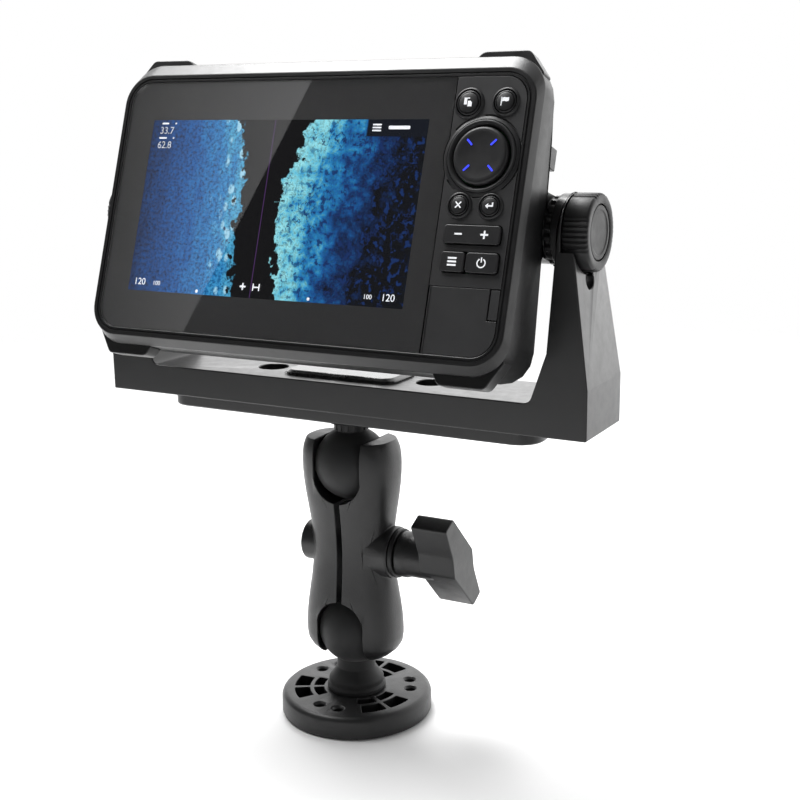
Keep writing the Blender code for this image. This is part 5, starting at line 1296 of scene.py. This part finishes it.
class FISHFINDER_OT_stage(bpy.types.Operator):
    """Pale floor, pale surroundings, soft lights and the camera"""
    bl_idname = "fishfinder.stage"
    bl_label = "Stage"

    def floor(self):
        disc = linked("floor", turned([(0, -0.004), (2.0, -0.004), (2.0, -0.0002), (0, -0.0002)],
            steps=96))
        w = Wiring("pale_floor", Base_Color=(0.86, 0.86, 0.86, 1), Roughness=0.7,
            Specular_IOR_Level=0.2)
        where = w.add("TexCoord").outputs["Object"]
        far = w.add("VectorMath", {0: where}, operation="LENGTH").outputs["Value"]
        w.set("Alpha", w.span(far, 0.22, 1.3, 1.0, 0.0, smooth=True))
        disc.data.materials.append(w.material)

    def surroundings(self, strength):
        world = bpy.data.worlds.new("pale_room")
        bpy.context.scene.world = world
        world.use_nodes = True
        w = Wiring("pale_room", world.node_tree)
        glow = w.span(w.parts("Generated")[1], 0.0, 0.9, strength, 2.2)
        seen = w.add("LightPath").outputs["Is Camera Ray"]
        level = w.add("Mix", {"Factor": seen, "A": glow, "B": 1.0}).outputs["Result"]
        back = w.tree.nodes["Background"]
        w.feed(back.inputs["Strength"], level)
        back.inputs["Color"].default_value = (1, 1, 1, 1)

    def camera(self, studio):
        target = Vector((0.0314, 0, 0.1727))
        a, e = studio.azimuth, studio.elevation
        back = Vector((math.sin(a) * math.cos(e), -math.cos(a) * math.cos(e), math.sin(e)))
        lens = bpy.data.cameras.new("camera")
        lens.lens = studio.lens
        lens.sensor_width = 36.0
        lens.shift_x = -0.00625
        lens.shift_y = -0.0025
        lens.clip_start = 0.02
        camera = bpy.data.objects.new("camera", lens)
        bpy.context.scene.collection.objects.link(camera)
        spin = (-back).to_track_quat("-Z", "Y").to_matrix().to_4x4()
        camera.matrix_world = (Matrix.Translation(target + back * studio.distance) @ spin
                               @ Matrix.Rotation(studio.roll, 4, "Z"))
        bpy.context.scene.camera = camera
        return camera.matrix_world.translation.copy()

    def glass_card(self, eye):
        """A card whose mirror image ends on a slanting line across the glass."""
        normal = FACE.to_3x3() @ Vector((0, -1, 0))
        spot = FACE.translation
        mirrored = eye - 2 * (eye - spot).dot(normal) * normal
        corners = [(-0.0032, 0.0608), (-0.0546, -0.0616), (-0.2000, -0.0616), (-0.1700, 0.0608)]
        along = Vector((corners[0][0] - corners[1][0], corners[0][1] - corners[1][1]))
        corners[0] = (corners[0][0] + along.x * 0.25, corners[0][1] + along.y * 0.25)
        corners[1] = (corners[1][0] - along.x * 0.25, corners[1][1] - along.y * 0.25)
        corners[2] = (corners[2][0], corners[1][1])
        corners[3] = (corners[3][0], corners[0][1])
        bm = bmesh.new()
        verts = []
        for x, z in corners:
            on_glass = FACE @ Vector((x, 0, z))
            verts.append(bm.verts.new(mirrored + (on_glass - mirrored) * 2.9))
        bm.faces.new(verts)
        card = linked("glass_card", bm)
        card.data.materials.append(card_material("glass_card", 0.30, 0.30 * 3.6))
        card.visible_camera = False
        card.visible_shadow = False
        card.visible_diffuse = False

    def execute(self, context):
        studio = context.scene.fish_finder_studio
        context.scene.view_settings.view_transform = "Standard"
        self.floor()
        self.surroundings(studio.world)
        eye = self.camera(studio)
        self.glass_card(eye)
        low, high = CAD_BOX
        middle_of = (Vector(low) + Vector(high)) / 2
        soft_light("overhead", (-0.46, 0.12, 1.20), middle_of, (1.0, 0.6), studio.overhead)
        soft_light("low_fill", (0.20, -1.40, 0.05), middle_of, (0.8, 0.5), studio.fill)
        soft_light("right_fill", (1.40, -0.30, 0.60), middle_of, (0.8, 0.8), studio.fill * 2)
        return {"FINISHED"}


# ---- sidebar and running
STEPS = (FISHFINDER_OT_base, FISHFINDER_OT_arm, FISHFINDER_OT_clamp_knob, FISHFINDER_OT_upper_mount,
         FISHFINDER_OT_bracket, FISHFINDER_OT_side_knobs, FISHFINDER_OT_bezel, FISHFINDER_OT_housing,
         FISHFINDER_OT_display, FISHFINDER_OT_key_panel, FISHFINDER_OT_keys, FISHFINDER_OT_card_bay,
         FISHFINDER_OT_stage)


class FISHFINDER_PT_sidebar(bpy.types.Panel):
    """Colours, sizes and the building steps of the fish finder"""
    bl_idname = "FISHFINDER_PT_sidebar"
    bl_label = "Fish Finder"
    bl_space_type = "VIEW_3D"
    bl_region_type = "UI"
    bl_category = "Fish Finder"

    def draw(self, context):
        for group in ("fish_finder_finish", "fish_finder_sizes", "fish_finder_studio"):
            settings = getattr(context.scene, group)
            column = self.layout.box().column()
            for label in settings.__annotations__:
                column.prop(settings, label)
        column = self.layout.column(align=True)
        for step in STEPS:
            column.operator(step.bl_idname)


CLASSES = (FishFinderFinish, FishFinderSizes, FishFinderStudio, *STEPS, FISHFINDER_PT_sidebar)


def register():
    for cls in CLASSES:
        bpy.utils.register_class(cls)
    bpy.types.Scene.fish_finder_finish = PointerProperty(type=FishFinderFinish)
    bpy.types.Scene.fish_finder_sizes = PointerProperty(type=FishFinderSizes)
    bpy.types.Scene.fish_finder_studio = PointerProperty(type=FishFinderStudio)


def unregister():
    del bpy.types.Scene.fish_finder_studio
    del bpy.types.Scene.fish_finder_sizes
    del bpy.types.Scene.fish_finder_finish
    for cls in reversed(CLASSES):
        bpy.utils.unregister_class(cls)


def main():
    register()
    for step in STEPS:
        group, name = step.bl_idname.split(".")
        getattr(getattr(bpy.ops, group), name)()


if __name__ == "__main__":
    main()
